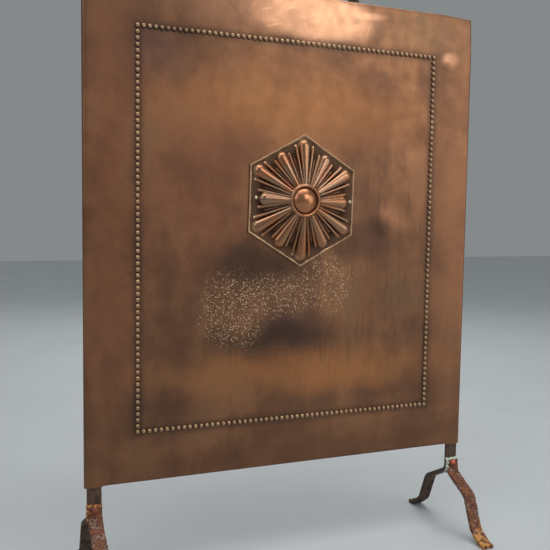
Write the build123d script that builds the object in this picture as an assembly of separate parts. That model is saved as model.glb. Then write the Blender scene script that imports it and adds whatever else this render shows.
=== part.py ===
from build123d import *
import math
import os

# Fireplace screen: an embossed copper sheet folded round a flat iron frame, on four bent iron legs.
# Origin on the floor under the middle of the screen, +X to the viewer's right, front face towards -Y, +Z up.

# --- sheet ---
panel_width = 510.3
panel_height = 576.0
panel_lift = 115.0          # floor to the sheet's lower edge
sheet = 0.8                 # copper thickness
return_width = 14.0         # flat part of the fold behind the frame
fold_gap = 0.4              # between the bottom fold's end and the upright that it stops at

# --- bead border, pressed out from the back ---
bead_pitch = 6.95
bead_diameter = 6.3
bead_height = 2.6
border_bottom = 60.0        # sheet's lower edge to the lower row of beads
border_top = 57.3           # sheet's upper edge to the upper row, within half a pitch
border_side = 60.55         # sheet's side edge to a side row, within half a pitch

# --- iron frame ---
bar_width = 16.4
bar_thickness = 5.0
lap_clearance = 0.1
corner_rivet_diameter = 5.0
countersink_diameter = 8.0
countersink_depth = 1.5

# --- legs, as heights and reaches of the bar's centre line ---
foot_reach = 88.0           # screen's middle plane to the tip of each foot
toe_length = 9.0            # flat part of the foot on the floor
rear_shoulder_height = 79.5
front_shoulder_height = 77.5
knee_reach = 44.5
knee_height = 55.7
ankle_reach = 60.5
ankle_height = 16.4
shoulder_radius = 10.5
knee_radius = 12.0
ankle_radius = 12.0
toe_radius = 14.0
front_leg_top = 94.0
leg_rivet_height = 90.0
leg_rivet_diameter = 4.0
leg_rivet_head_diameter = 7.6
leg_rivet_head_height = 2.2
braze_size = 3.0

# --- rosette ---
rosette_offset = 9.4        # to the right of the screen's middle
rosette_rise = 329.4        # above the sheet's lower edge
rosette_corners = 6
rosette_radius = 81.3       # to a corner
rosette_turn = -1.3         # degrees, clockwise from the front
rosette_sheet = 0.8
rim_width = 2.2
rim_height = 1.6
boss_radius = 58.0          # where the ground starts to rise towards the ring
boss_rise = 8.2             # of the ground, from there to the ring
petal_count = 12
petal_inner_radius = 20.0   # where petals leave the ring
petal_root_half_width = 2.1
petal_tip_half_width = 6.4
petal_height_share = 0.72   # height of a petal as a share of its half width
long_petal_reach = 74.5     # towards a corner
short_petal_reach = 66.0    # towards a flat
left_petal_reach = 58.5     # these two end before the pin heads
right_petal_reach = 62.4
ridge_root_half_width = 1.05
ridge_tip_half_width = 1.5
ridge_height_share = 0.75
long_ridge_reach = 71.0
short_ridge_reach = 54.5
ring_radius = 18.4
ring_half_width = 1.9
ring_lift = 2.6             # top of the ring above the ground under it
dome_radius = 15.6
dome_height = 6.0

# --- rosette pins ---
left_pin_reach = 61.2       # rosette's middle to the pin
right_pin_reach = 65.6
pin_rise = 1.2
pin_diameter = 2.6
pin_head_diameter = 4.8
pin_head_height = 2.2
pin_tail_length = 1.6

# --- carrying handle ---
handle_span = 158.0         # between the middles of the two tangs
handle_rise = 48.0          # sheet's upper edge to the top of the handle
handle_diameter = 9.0
handle_corner_radius = 28.0
tang_width = 16.0
tang_thickness = 4.0
tang_drop = 20.0            # below the sheet's upper edge
tang_stub = 1.0             # flat part above the sheet's upper edge
tang_taper = 14.0           # from the flat to the round
handle_rivet_diameter = 5.0
handle_rivet_head_diameter = 9.5
handle_rivet_head_height = 3.2

# --- worked out ---
half_bar = bar_thickness / 2
fold_radius = half_bar + sheet
panel_top = panel_lift + panel_height
frame_half_width = panel_width / 2 - fold_radius
frame_bottom = panel_lift + fold_radius
frame_top = panel_top - fold_radius
upright_x = frame_half_width - bar_width / 2
bottom_rail_z = frame_bottom + bar_width / 2
top_rail_z = frame_top - bar_width / 2
sheet_front = -fold_radius
sheet_back = -half_bar
bead_columns = round((panel_width - 2 * border_side) / bead_pitch)
bead_rows = round((panel_height - border_bottom - border_top) / bead_pitch)
border_half_width = bead_columns * bead_pitch / 2
border_z = panel_lift + border_bottom
rosette_z = panel_lift + rosette_rise
tang_y = fold_radius + tang_thickness / 2
pin_offsets = (-left_pin_reach, right_pin_reach)


def block(x_range, y_range, z_range):
    """Box between two corners."""
    low = [min(r) for r in (x_range, y_range, z_range)]
    size = [abs(r[1] - r[0]) for r in (x_range, y_range, z_range)]
    return Pos(*low) * Box(*size, align=(Align.MIN, Align.MIN, Align.MIN))


def along_y(shape, x, y, z):
    """Place a shape that was made along +Z so that it points towards +Y."""
    return Pos(x, y, z) * Rot(-90, 0, 0) * shape


def hole(diameter, x, z, y_range):
    """Round hole along Y between two depths."""
    drill = Cylinder(diameter / 2, y_range[1] - y_range[0], align=(Align.CENTER, Align.CENTER, Align.MIN))
    return along_y(drill, x, y_range[0], z)


def save(name, shape):
    """Write one sub-part, as a group when it is several solids."""
    solids = shape.solids()
    shape = solids[0] if len(solids) == 1 else Compound(children=list(solids))
    shape.label = name
    export_step(shape, f"parts/{name}.step")


def half_tube(length, outer, inner):
    """Half-round fold along +Z, bulging towards +X, open towards -X."""
    ring = Cylinder(outer, length, align=(Align.CENTER, Align.CENTER, Align.MIN))
    ring -= Cylinder(inner, length, align=(Align.CENTER, Align.CENTER, Align.MIN))
    keep = Box(outer, 2 * outer, length, align=(Align.MIN, Align.CENTER, Align.MIN))
    return ring & keep


def bead_places():
    """Middles of all the border's beads, once round the rectangle."""
    xs = [-border_half_width + i * bead_pitch for i in range(bead_columns + 1)]
    zs = [border_z + i * bead_pitch for i in range(bead_rows + 1)]
    rows = [(x, z) for x in xs for z in (zs[0], zs[-1])]
    columns = [(x, z) for x in (xs[0], xs[-1]) for z in zs[1:-1]]
    return rows + columns


def copper_panel():
    """Sheet with beads, folded round the frame on all four sides."""
    side_height = frame_top - panel_lift
    face = block((-frame_half_width, frame_half_width), (sheet_front, sheet_back), (panel_lift, frame_top))
    pieces = [face]
    for side in (-1, 1):
        turn = 0 if side > 0 else 180
        fold = half_tube(side_height, fold_radius, half_bar)
        pieces.append(Pos(side * frame_half_width, 0, panel_lift) * Rot(0, 0, turn) * fold)
        inner = side * (frame_half_width - return_width)
        side_return = (inner, side * frame_half_width)
        pieces.append(block(side_return, (half_bar, fold_radius), (panel_lift, frame_top)))
        corner = Sphere(fold_radius) - Sphere(half_bar)
        reach = side * fold_radius
        corner &= block((0, reach), (-fold_radius, fold_radius), (0, fold_radius))
        pieces.append(Pos(side * frame_half_width, 0, frame_top) * corner)
    top_fold = half_tube(2 * frame_half_width, fold_radius, half_bar)
    pieces.append(Pos(frame_half_width, 0, frame_top) * Rot(0, -90, 0) * top_fold)
    top_return = (frame_top - return_width, frame_top)
    pieces.append(block((-frame_half_width, frame_half_width), (half_bar, fold_radius), top_return))
    bottom_half = upright_x - bar_width / 2 - fold_gap
    bottom_fold = half_tube(2 * bottom_half, fold_radius, half_bar)
    pieces.append(Pos(-bottom_half, 0, frame_bottom) * Rot(0, 90, 0) * bottom_fold)
    bottom_return = (frame_bottom, frame_bottom + return_width)
    pieces.append(block((-bottom_half, bottom_half), (half_bar, fold_radius), bottom_return))
    panel = pieces[0].fuse(*pieces[1:])
    # the face stops at the lower fold's axis between the uprights, so that the fold stays round
    under_fold = block((-bottom_half, bottom_half), (sheet_front, sheet_back), (panel_lift, frame_bottom))
    round_edge = Pos(-bottom_half, 0, frame_bottom) * Rot(0, 90, 0) * Cylinder(
        fold_radius, 2 * bottom_half, align=(Align.CENTER, Align.CENTER, Align.MIN)
    )
    panel -= under_fold - round_edge
    dome_offset = bead_diameter / 2 - bead_height
    middle = sheet_front + dome_offset
    domes = [Pos(x, middle, z) * Sphere(bead_diameter / 2) for x, z in bead_places()]
    panel = panel.fuse(*domes)
    behind = block(
        (-border_half_width - bead_pitch, border_half_width + bead_pitch),
        (sheet_back, half_bar + bead_diameter),
        (border_z - bead_pitch, border_z + bead_rows * bead_pitch + bead_pitch),
    )
    hollows = [Pos(x, middle, z) * Sphere(bead_diameter / 2 - sheet) for x, z in bead_places()]
    panel = panel.cut(behind, *hollows)
    for side in (-1, 1):
        panel -= hole(handle_rivet_diameter, side * handle_span / 2, top_rail_z, (0, fold_radius + sheet))
    for offset in pin_offsets:
        pin_hole = Cylinder(pin_diameter / 2, 2 * (sheet + fold_gap))
        panel -= place_rosette(Pos(offset, pin_rise, 0) * pin_hole)
    return panel


def leg_profile_path(start_y, start_z, shoulder_height, direction):
    """Centre line of a bar from its straight upper part down to the toe."""
    points = [
        (0, start_y, start_z),
        (0, start_y, shoulder_height),
        (0, direction * knee_reach, knee_height),
        (0, direction * ankle_reach, ankle_height),
        (0, direction * (foot_reach - toe_length), half_bar),
        (0, direction * foot_reach, half_bar),
    ]
    return FilletPolyline(*points, radius=[shoulder_radius, knee_radius, ankle_radius, toe_radius])


def bent_bar(x, path):
    """Flat bar swept along a path in the plane of constant x."""
    section = Plane(origin=path @ 0, x_dir=(1, 0, 0), z_dir=path % 0) * Rectangle(bar_width, bar_thickness)
    return Pos(x, 0, 0) * sweep(section, path=path)


def flush_rivet(diameter, length):
    """Rivet along +Z with a countersunk head at each end, from z = 0 to its length."""
    shank = Cylinder(diameter / 2, length, align=(Align.CENTER, Align.CENTER, Align.MIN))
    head = Cone(countersink_diameter / 2, diameter / 2, countersink_depth,
                align=(Align.CENTER, Align.CENTER, Align.MIN))
    far_head = Pos(0, 0, length) * Rot(180, 0, 0) * head
    return shank + head + far_head


def domed_head(diameter, height):
    """Rivet head standing on z = 0, a slice of a ball."""
    radius = ((diameter / 2) ** 2 + height ** 2) / (2 * height)
    ball = Pos(0, 0, height - radius) * Sphere(radius)
    return ball & Box(diameter, diameter, height, align=(Align.CENTER, Align.CENTER, Align.MIN))


def corner_places():
    """Middles of the four frame corners."""
    return [(side * upright_x, z) for side in (-1, 1) for z in (bottom_rail_z, top_rail_z)]


def upright(side):
    """Upright and rear leg in one bar, notched for the rails and drilled for the rivets."""
    bar = bent_bar(side * upright_x, leg_profile_path(0, frame_top, rear_shoulder_height, 1))
    notch_half = bar_width / 2 + lap_clearance
    for x, z in corner_places():
        if x * side > 0:
            notch_z = (z - notch_half, z + notch_half)
            bar -= block((x - notch_half, x + notch_half), (-bar_thickness, 0), notch_z)
            bar -= along_y(flush_rivet(corner_rivet_diameter, bar_thickness), x, -half_bar, z)
    return bar - hole(leg_rivet_diameter, side * upright_x, leg_rivet_height, (-bar_thickness, bar_thickness))


def front_leg(side):
    """Front leg with its straight tab lapped on the upright."""
    bar = bent_bar(side * upright_x,
                   leg_profile_path(-bar_thickness, front_leg_top, front_shoulder_height, -1))
    return bar - hole(leg_rivet_diameter, side * upright_x, leg_rivet_height, (-2 * bar_thickness, 0))


def rail(z, with_handle):
    """Rail with half-lapped ends, drilled for the corner rivets and, on top, for the handle's rivets."""
    bar = block((-frame_half_width, frame_half_width), (-half_bar, half_bar),
                (z - bar_width / 2, z + bar_width / 2))
    shoulder = upright_x - bar_width / 2 - lap_clearance
    for side in (-1, 1):
        bar -= block((side * shoulder, side * (frame_half_width + 1)), (0, bar_thickness),
                     (z - bar_width, z + bar_width))
        bar -= along_y(flush_rivet(corner_rivet_diameter, bar_thickness), side * upright_x, -half_bar, z)
        if with_handle:
            bar -= along_y(handle_rivet(), side * handle_span / 2, -half_bar, z)
    return bar


def handle_rivet():
    """Handle rivet along +Z: countersunk in the rail's front, through the fold and the tang, domed behind."""
    grip = bar_thickness + sheet + tang_thickness
    shank = Cylinder(handle_rivet_diameter / 2, grip, align=(Align.CENTER, Align.CENTER, Align.MIN))
    sunk = Cone(countersink_diameter / 2, handle_rivet_diameter / 2, countersink_depth,
                align=(Align.CENTER, Align.CENTER, Align.MIN))
    return shank + sunk + Pos(0, 0, grip) * domed_head(handle_rivet_head_diameter, handle_rivet_head_height)


def carrying_handle():
    """Bail of round bar with forged flat tangs behind the top rail."""
    half_span = handle_span / 2
    neck_z = panel_top + tang_stub
    bar_start = neck_z + tang_taper
    bar_top = panel_top + handle_rise - handle_diameter / 2
    path = FilletPolyline(
        (-half_span, tang_y, bar_start),
        (-half_span, tang_y, bar_top),
        (half_span, tang_y, bar_top),
        (half_span, tang_y, bar_start),
        radius=handle_corner_radius,
    )
    section = Plane(origin=path @ 0, x_dir=(1, 0, 0), z_dir=path % 0) * Circle(handle_diameter / 2)
    handle = sweep(section, path=path)
    for side in (-1, 1):
        x = side * half_span
        tang = block((x - tang_width / 2, x + tang_width / 2),
                     (tang_y - tang_thickness / 2, tang_y + tang_thickness / 2),
                     (panel_top - tang_drop, neck_z))
        flat_end = Pos(x, tang_y, neck_z) * Rectangle(tang_width, tang_thickness)
        round_end = Pos(x, tang_y, bar_start) * Circle(handle_diameter / 2)
        handle = handle + tang + loft([flat_end, round_end])
        handle -= hole(handle_rivet_diameter, x, top_rail_z, (0, tang_y + tang_thickness))
    return handle


def leg_rivet():
    """Leg rivet along +Z, with a domed head on the leg and another behind the upright."""
    grip = 2 * bar_thickness
    shank = Cylinder(leg_rivet_diameter / 2, grip, align=(Align.CENTER, Align.CENTER, Align.MIN))
    head = domed_head(leg_rivet_head_diameter, leg_rivet_head_height)
    return shank + Pos(0, 0, grip) * head + Rot(180, 0, 0) * head


def leg_braze(side):
    """Hollow-faced fillet of braze between the leg's upper end and the upright's face."""
    back = -half_bar
    corner = (back, front_leg_top)
    edge = Polyline((corner[0] - braze_size, corner[1]), corner, (corner[0], corner[1] + braze_size))
    curve = RadiusArc(edge @ 1, edge @ 0, -braze_size)
    face = make_face(Plane.YZ * (edge + curve))
    return Pos(side * upright_x - bar_width / 2, 0, 0) * extrude(face, bar_width, dir=(1, 0, 0))


def ground_lift(radius):
    """Height of the rosette's ground above its flat edge, at a distance from the middle."""
    share = (boss_radius - radius) / (boss_radius - petal_inner_radius)
    return boss_rise * min(max(share, 0), 1)


def ray(root, tip, reach, height_share, shrink=0):
    """Tapered round ridge along +X on the ground, with a ball end, made thinner all round by shrink."""
    start = ground_lift(petal_inner_radius) - root * (1 - height_share)
    end = ground_lift(reach - tip) - tip * (1 - height_share)
    run = reach - tip - petal_inner_radius
    length = math.hypot(run, start - end)
    body = Cone(root - shrink, tip - shrink, length, align=(Align.CENTER, Align.CENTER, Align.MIN))
    shape = Rot(0, 90, 0) * body + Pos(length, 0, 0) * Sphere(tip - shrink)
    return Pos(petal_inner_radius, 0, start) * Rot(0, math.degrees(math.atan2(start - end, run)), 0) * shape


def ray_reach(angle, long_reach, short_reach):
    """How far a ray goes at an angle: far towards the corners, less towards the flats."""
    share = (1 + math.cos(math.radians(rosette_corners * angle - 180))) / 2
    return short_reach + (long_reach - short_reach) * share


def petal_reach(angle):
    """How far a petal goes: the two that point at the pins stop short of them."""
    if angle == 0:
        return right_petal_reach
    if angle == 180:
        return left_petal_reach
    return ray_reach(angle, long_petal_reach, short_petal_reach)


def rosette_shapes(shrink):
    """Petals and dome in the rosette's own frame, its front towards +Z, made thinner all round by shrink."""
    shapes = []
    for i in range(petal_count):
        angle = i * 360 / petal_count
        reach = petal_reach(angle)
        petal = ray(petal_root_half_width, petal_tip_half_width, reach, petal_height_share, shrink)
        shapes.append(Rot(0, 0, angle) * petal)
    ball = (dome_radius ** 2 + dome_height ** 2) / (2 * dome_height)
    shapes.append(Pos(0, 0, boss_rise + dome_height - ball) * Sphere(ball - shrink))
    return shapes


def rosette_plaque():
    """Pressed hexagon: raised ground and rim, petals, ridges, ring and dome, hollow behind."""
    half_step = 180 / rosette_corners
    outline = RegularPolygon(rosette_radius, rosette_corners, rotation=half_step)
    plate = extrude(outline, rosette_sheet)
    inner_radius = rosette_radius - rim_width / math.cos(math.radians(half_step))
    inside = RegularPolygon(inner_radius, rosette_corners, rotation=half_step)
    rim = extrude(outline, rim_height) - extrude(inside, rim_height)
    above = Pos(0, 0, rosette_sheet)
    boss = Cone(boss_radius, petal_inner_radius, boss_rise, align=(Align.CENTER, Align.CENTER, Align.MIN))
    raised = [above * boss]
    raised += [above * shape for shape in rosette_shapes(0)]
    for i in range(petal_count):
        for step in (1 / 3, 2 / 3):
            angle = (i + step) * 360 / petal_count
            reach = ray_reach(angle, long_ridge_reach, short_ridge_reach)
            ridge = ray(ridge_root_half_width, ridge_tip_half_width, reach, ridge_height_share)
            raised.append(above * Rot(0, 0, angle) * ridge)
    ring_z = boss_rise + ring_lift - ring_half_width
    raised.append(above * Pos(0, 0, ring_z) * Torus(ring_radius, ring_half_width))
    body = plate.fuse(rim, *raised)
    tall = 4 * (boss_rise + dome_height)
    body &= Cylinder(rosette_radius, tall, align=(Align.CENTER, Align.CENTER, Align.MIN))
    hollows = [boss] + [above * shape for shape in rosette_shapes(rosette_sheet)]
    body = body.cut(*hollows)
    for offset in pin_offsets:
        body -= Pos(offset, pin_rise, 0) * Cylinder(pin_diameter / 2, tall)
    return place_rosette(body)


def place_rosette(shape):
    """From the rosette's own frame, front towards +Z, to its seat on the sheet."""
    return Pos(rosette_offset, sheet_front, rosette_z) * Rot(90, 0, 0) * Rot(0, 0, rosette_turn) * shape


def rosette_pins():
    """Two pins through rosette and sheet, with domed heads in front and spread tails behind."""
    pins = []
    back = -sheet - pin_tail_length
    for offset in pin_offsets:
        shank = Pos(0, 0, back) * Cylinder(pin_diameter / 2, rosette_sheet - back,
                                           align=(Align.CENTER, Align.CENTER, Align.MIN))
        head = Pos(0, 0, rosette_sheet) * domed_head(pin_head_diameter, pin_head_height)
        tail = Pos(0, 0, -sheet) * Rot(180, 0, 0) * domed_head(pin_head_diameter, pin_tail_length)
        pins.append(place_rosette(Pos(offset, pin_rise, 0) * (shank + head + tail)))
    return Compound(children=[p.solids()[0] for p in pins])


def group(shapes):
    """Several separate solids as one sub-part."""
    return Compound(children=[shape.solids()[0] for shape in shapes])


def main():
    os.makedirs("parts", exist_ok=True)
    save("copper_panel", copper_panel())
    for name, side in (("left", -1), ("right", 1)):
        save(f"{name}_upright", upright(side))
        save(f"{name}_front_leg", front_leg(side))
        save(f"{name}_leg_braze", leg_braze(side))
    save("top_rail", rail(top_rail_z, True))
    save("bottom_rail", rail(bottom_rail_z, False))
    save("frame_corner_rivets", group(
        [along_y(flush_rivet(corner_rivet_diameter, bar_thickness), x, -half_bar, z)
         for x, z in corner_places()]))
    save("leg_rivets", group(
        [along_y(leg_rivet(), side * upright_x, -half_bar - bar_thickness, leg_rivet_height)
         for side in (-1, 1)]))
    save("rosette_plaque", rosette_plaque())
    save("rosette_pins", rosette_pins())
    save("carrying_handle", carrying_handle())
    save("handle_rivets", group(
        [along_y(handle_rivet(), side * handle_span / 2, -half_bar, top_rail_z) for side in (-1, 1)]))


main()
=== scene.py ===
"""Looks of the copper fireplace screen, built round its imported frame."""

import logging
import math
import random
from dataclasses import dataclass
from enum import Enum
from typing import Callable

import bmesh
import bpy
from mathutils import Matrix, Vector


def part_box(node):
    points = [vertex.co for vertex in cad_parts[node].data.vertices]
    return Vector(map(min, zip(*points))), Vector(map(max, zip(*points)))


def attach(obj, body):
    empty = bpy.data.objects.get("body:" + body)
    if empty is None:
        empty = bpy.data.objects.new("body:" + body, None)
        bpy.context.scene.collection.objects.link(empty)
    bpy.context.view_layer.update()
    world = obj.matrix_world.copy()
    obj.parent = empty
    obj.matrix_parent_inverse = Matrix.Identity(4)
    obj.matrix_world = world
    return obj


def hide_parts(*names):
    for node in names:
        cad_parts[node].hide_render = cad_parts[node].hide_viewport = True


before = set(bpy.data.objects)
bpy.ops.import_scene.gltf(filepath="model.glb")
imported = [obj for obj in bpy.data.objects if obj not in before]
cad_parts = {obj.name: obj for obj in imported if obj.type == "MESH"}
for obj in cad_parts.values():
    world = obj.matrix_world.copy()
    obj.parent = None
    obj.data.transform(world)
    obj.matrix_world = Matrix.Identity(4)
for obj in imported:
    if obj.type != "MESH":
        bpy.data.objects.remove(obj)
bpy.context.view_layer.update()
LOG = logging.getLogger("fireplace_screen")

X_AXIS = Vector((1.0, 0.0, 0.0))
Y_AXIS = Vector((0.0, 1.0, 0.0))
Z_AXIS = Vector((0.0, 0.0, 1.0))
SAME_PLACE = 0.00005  # vertices nearer than this are taken as one
SMOOTH_ANGLE = math.radians(38.0)  # edges sharper than this stay crisp
INSIDE = "inside"  # face attribute: 1 on the hidden side of the sheet

Piece = bpy.types.Object
Socket = bpy.types.NodeSocket
Colour = tuple[float, float, float, float]


# ------------------------------------------------------------------ bench work


def select_nothing() -> None:
    """Deselect every object, so that a new primitive stands alone."""
    bpy.ops.object.select_all(action="DESELECT")


def activate(piece: Piece) -> None:
    """Make one piece the only selected and active object.

    Args:
        piece: the object to work on.
    """
    select_nothing()
    bpy.context.view_layer.objects.active = piece
    piece.select_set(True)


def begin_edit(piece: Piece) -> None:
    """Open a piece in edit mode with nothing selected.

    Args:
        piece: the object to edit.
    """
    activate(piece)
    bpy.ops.object.mode_set(mode="EDIT")
    bpy.ops.mesh.select_all(action="DESELECT")


def end_edit() -> None:
    """Leave edit mode."""
    bpy.ops.object.mode_set(mode="OBJECT")


def pick_vertices(test: Callable[[Vector], bool]) -> int:
    """Select the vertices that pass a test, and nothing else.

    Args:
        test: takes a vertex's place.

    Returns:
        How many were selected.
    """
    bpy.ops.mesh.select_all(action="DESELECT")
    bpy.ops.mesh.select_mode(type="VERT")
    mesh = bpy.context.edit_object.data
    shape = bmesh.from_edit_mesh(mesh)
    chosen = [vertex for vertex in shape.verts if test(vertex.co)]
    for vertex in chosen:
        vertex.select_set(True)
    shape.select_flush_mode()
    bmesh.update_edit_mesh(mesh)
    return len(chosen)


def pick_edges(test: Callable[[Vector], bool], open_only: bool = False) -> int:
    """Select the edges whose two ends pass a test, and nothing else.

    Args:
        test: takes an end's place.
        open_only: leave out edges that have faces on both sides.

    Returns:
        How many were selected.
    """
    bpy.ops.mesh.select_all(action="DESELECT")
    bpy.ops.mesh.select_mode(type="EDGE")
    mesh = bpy.context.edit_object.data
    shape = bmesh.from_edit_mesh(mesh)
    chosen = [
        edge
        for edge in shape.edges
        if all(test(vertex.co) for vertex in edge.verts) and not (open_only and len(edge.link_faces) > 1)
    ]
    for edge in chosen:
        edge.select_set(True)
    shape.select_flush_mode()
    bmesh.update_edit_mesh(mesh)
    return len(chosen)


def pick_faces(test: Callable[[Vector, Vector], bool]) -> int:
    """Select the faces that pass a test, and nothing else.

    Args:
        test: takes a face's middle and its normal.

    Returns:
        How many were selected.
    """
    bpy.ops.mesh.select_all(action="DESELECT")
    bpy.ops.mesh.select_mode(type="FACE")
    mesh = bpy.context.edit_object.data
    shape = bmesh.from_edit_mesh(mesh)
    chosen = [face for face in shape.faces if test(face.calc_center_median(), face.normal)]
    for face in chosen:
        face.select_set(True)
    shape.select_flush_mode()
    bmesh.update_edit_mesh(mesh)
    return len(chosen)


def extrude(offset: Vector) -> None:
    """Extrude what is selected.

    Args:
        offset: how far, as a vector.
    """
    bpy.ops.mesh.extrude_region_move(TRANSFORM_OT_translate={"value": offset})


def turn_round(steps: int, angle: float, centre: Vector, axis: Vector) -> None:
    """Sweep what is selected round an axis, counter-clockwise when seen against it.

    Args:
        steps: into how many steps the sweep is cut.
        angle: how far, in radians.
        centre: a point on the axis.
        axis: the axis.
    """
    bpy.ops.mesh.spin(steps=steps, angle=-angle, center=centre, axis=axis)


def shrink(factors: tuple[float, float, float], centre: Vector) -> None:
    """Scale what is selected about a point.

    Args:
        factors: scale along X, Y and Z.
        centre: the point that stays.
    """
    bpy.ops.transform.resize(value=factors, center_override=centre)


def settle(piece: Piece) -> Piece:
    """Put an object's place, turn and scale into its mesh.

    Args:
        piece: the object.

    Returns:
        The same object.
    """
    activate(piece)
    bpy.ops.object.transform_apply(location=True, rotation=True, scale=True)
    return piece


def place(piece: Piece, matrix: Matrix) -> Piece:
    """Move a piece and keep the move in its mesh.

    Args:
        piece: the object.
        matrix: the move.

    Returns:
        The same object.
    """
    piece.matrix_world = matrix @ piece.matrix_world
    return settle(piece)


def apply_modifier(piece: Piece, kind: str, **settings: object) -> None:
    """Add a modifier and apply it at once.

    Args:
        piece: the object.
        kind: Blender's modifier type.
        settings: the modifier's own values.
    """
    activate(piece)
    modifier = piece.modifiers.new(kind.lower(), kind)
    for name, value in settings.items():
        setattr(modifier, name, value)
    bpy.ops.object.modifier_apply(modifier=modifier.name)


def copy_of(piece: Piece, matrix: Matrix) -> Piece:
    """Copy a piece with its own mesh, at another place.

    Args:
        piece: the original.
        matrix: how the copy is moved.

    Returns:
        The copy.
    """
    activate(piece)
    bpy.ops.object.duplicate(linked=False)
    return place(bpy.context.active_object, matrix)


def join(pieces: list[Piece]) -> Piece:
    """Join several objects into the first one.

    Args:
        pieces: the objects.

    Returns:
        The joined object.
    """
    activate(pieces[0])
    for piece in pieces:
        piece.select_set(True)
    if len(pieces) > 1:
        bpy.ops.object.join()
    return bpy.context.active_object


def close_seams(piece: Piece) -> None:
    """Merge doubled vertices and turn all faces outwards.

    Args:
        piece: the object.
    """
    begin_edit(piece)
    bpy.ops.mesh.select_all(action="SELECT")
    bpy.ops.mesh.remove_doubles(threshold=SAME_PLACE)
    bpy.ops.mesh.normals_make_consistent(inside=False)
    end_edit()


def cut_below(height: float) -> None:
    """Cut the open mesh at a level plane, drop what is below it and close the cut.

    Args:
        height: height of the plane.
    """
    bpy.ops.mesh.select_all(action="SELECT")
    bpy.ops.mesh.bisect(plane_co=(0.0, 0.0, height), plane_no=Z_AXIS, clear_inner=True, use_fill=True)


def push(point: Vector, offset: Vector, reach: float) -> None:
    """Push the open mesh softly, as a thumb or a knock would.

    Args:
        point: where.
        offset: how far the middle moves.
        reach: how wide the dent is, to where it ends.
    """
    mesh = bpy.context.edit_object.data
    nearest = min(bmesh.from_edit_mesh(mesh).verts, key=lambda vertex: (vertex.co - point).length_squared)
    target = nearest.co.copy()
    pick_vertices(lambda spot: (spot - target).length < SAME_PLACE / 10)
    bpy.ops.transform.translate(
        value=offset,
        use_proportional_edit=True,
        use_proportional_connected=True,
        proportional_edit_falloff="SMOOTH",
        proportional_size=reach,
    )


def roughen(piece: Piece, grain: float, depth: float, seed_shift: float = 0.0) -> None:
    """Give a surface the small unevenness of forged or corroded metal.

    Args:
        piece: the object.
        grain: size of the bumps.
        depth: height of the bumps from lowest to highest.
        seed_shift: moves the pattern along, so that two pieces differ.
    """
    texture = bpy.data.textures.new(f"{piece.name}_grain", "CLOUDS")
    texture.noise_scale = grain
    texture.noise_depth = 3
    shift = Matrix.Translation((seed_shift, 0.0, 0.0))
    place(piece, shift)
    apply_modifier(piece, "DISPLACE", texture=texture, strength=depth, mid_level=0.5, texture_coords="LOCAL")
    place(piece, shift.inverted())


def hand_over(piece: Piece, name: str, finish: "Finish", slot: str, *nodes: str) -> Piece:
    """Name a finished piece, dress it and tie it to the frame.

    Args:
        piece: the finished object.
        name: its name.
        finish: its finish.
        slot: not used.
        nodes: the CAD nodes that it stands for.

    Returns:
        The same object.
    """
    piece.name = name
    piece.data.name = name
    piece.data.materials.clear()
    piece.data.materials.append(finish.material())
    activate(piece)
    bpy.ops.object.shade_smooth_by_angle(angle=SMOOTH_ANGLE)
    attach(piece, "root")
    if nodes:
        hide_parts(*nodes)
    LOG.info("%s: %d faces", name, len(piece.data.polygons))
    return piece


# ------------------------------------------------------------------ shader wiring


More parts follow.
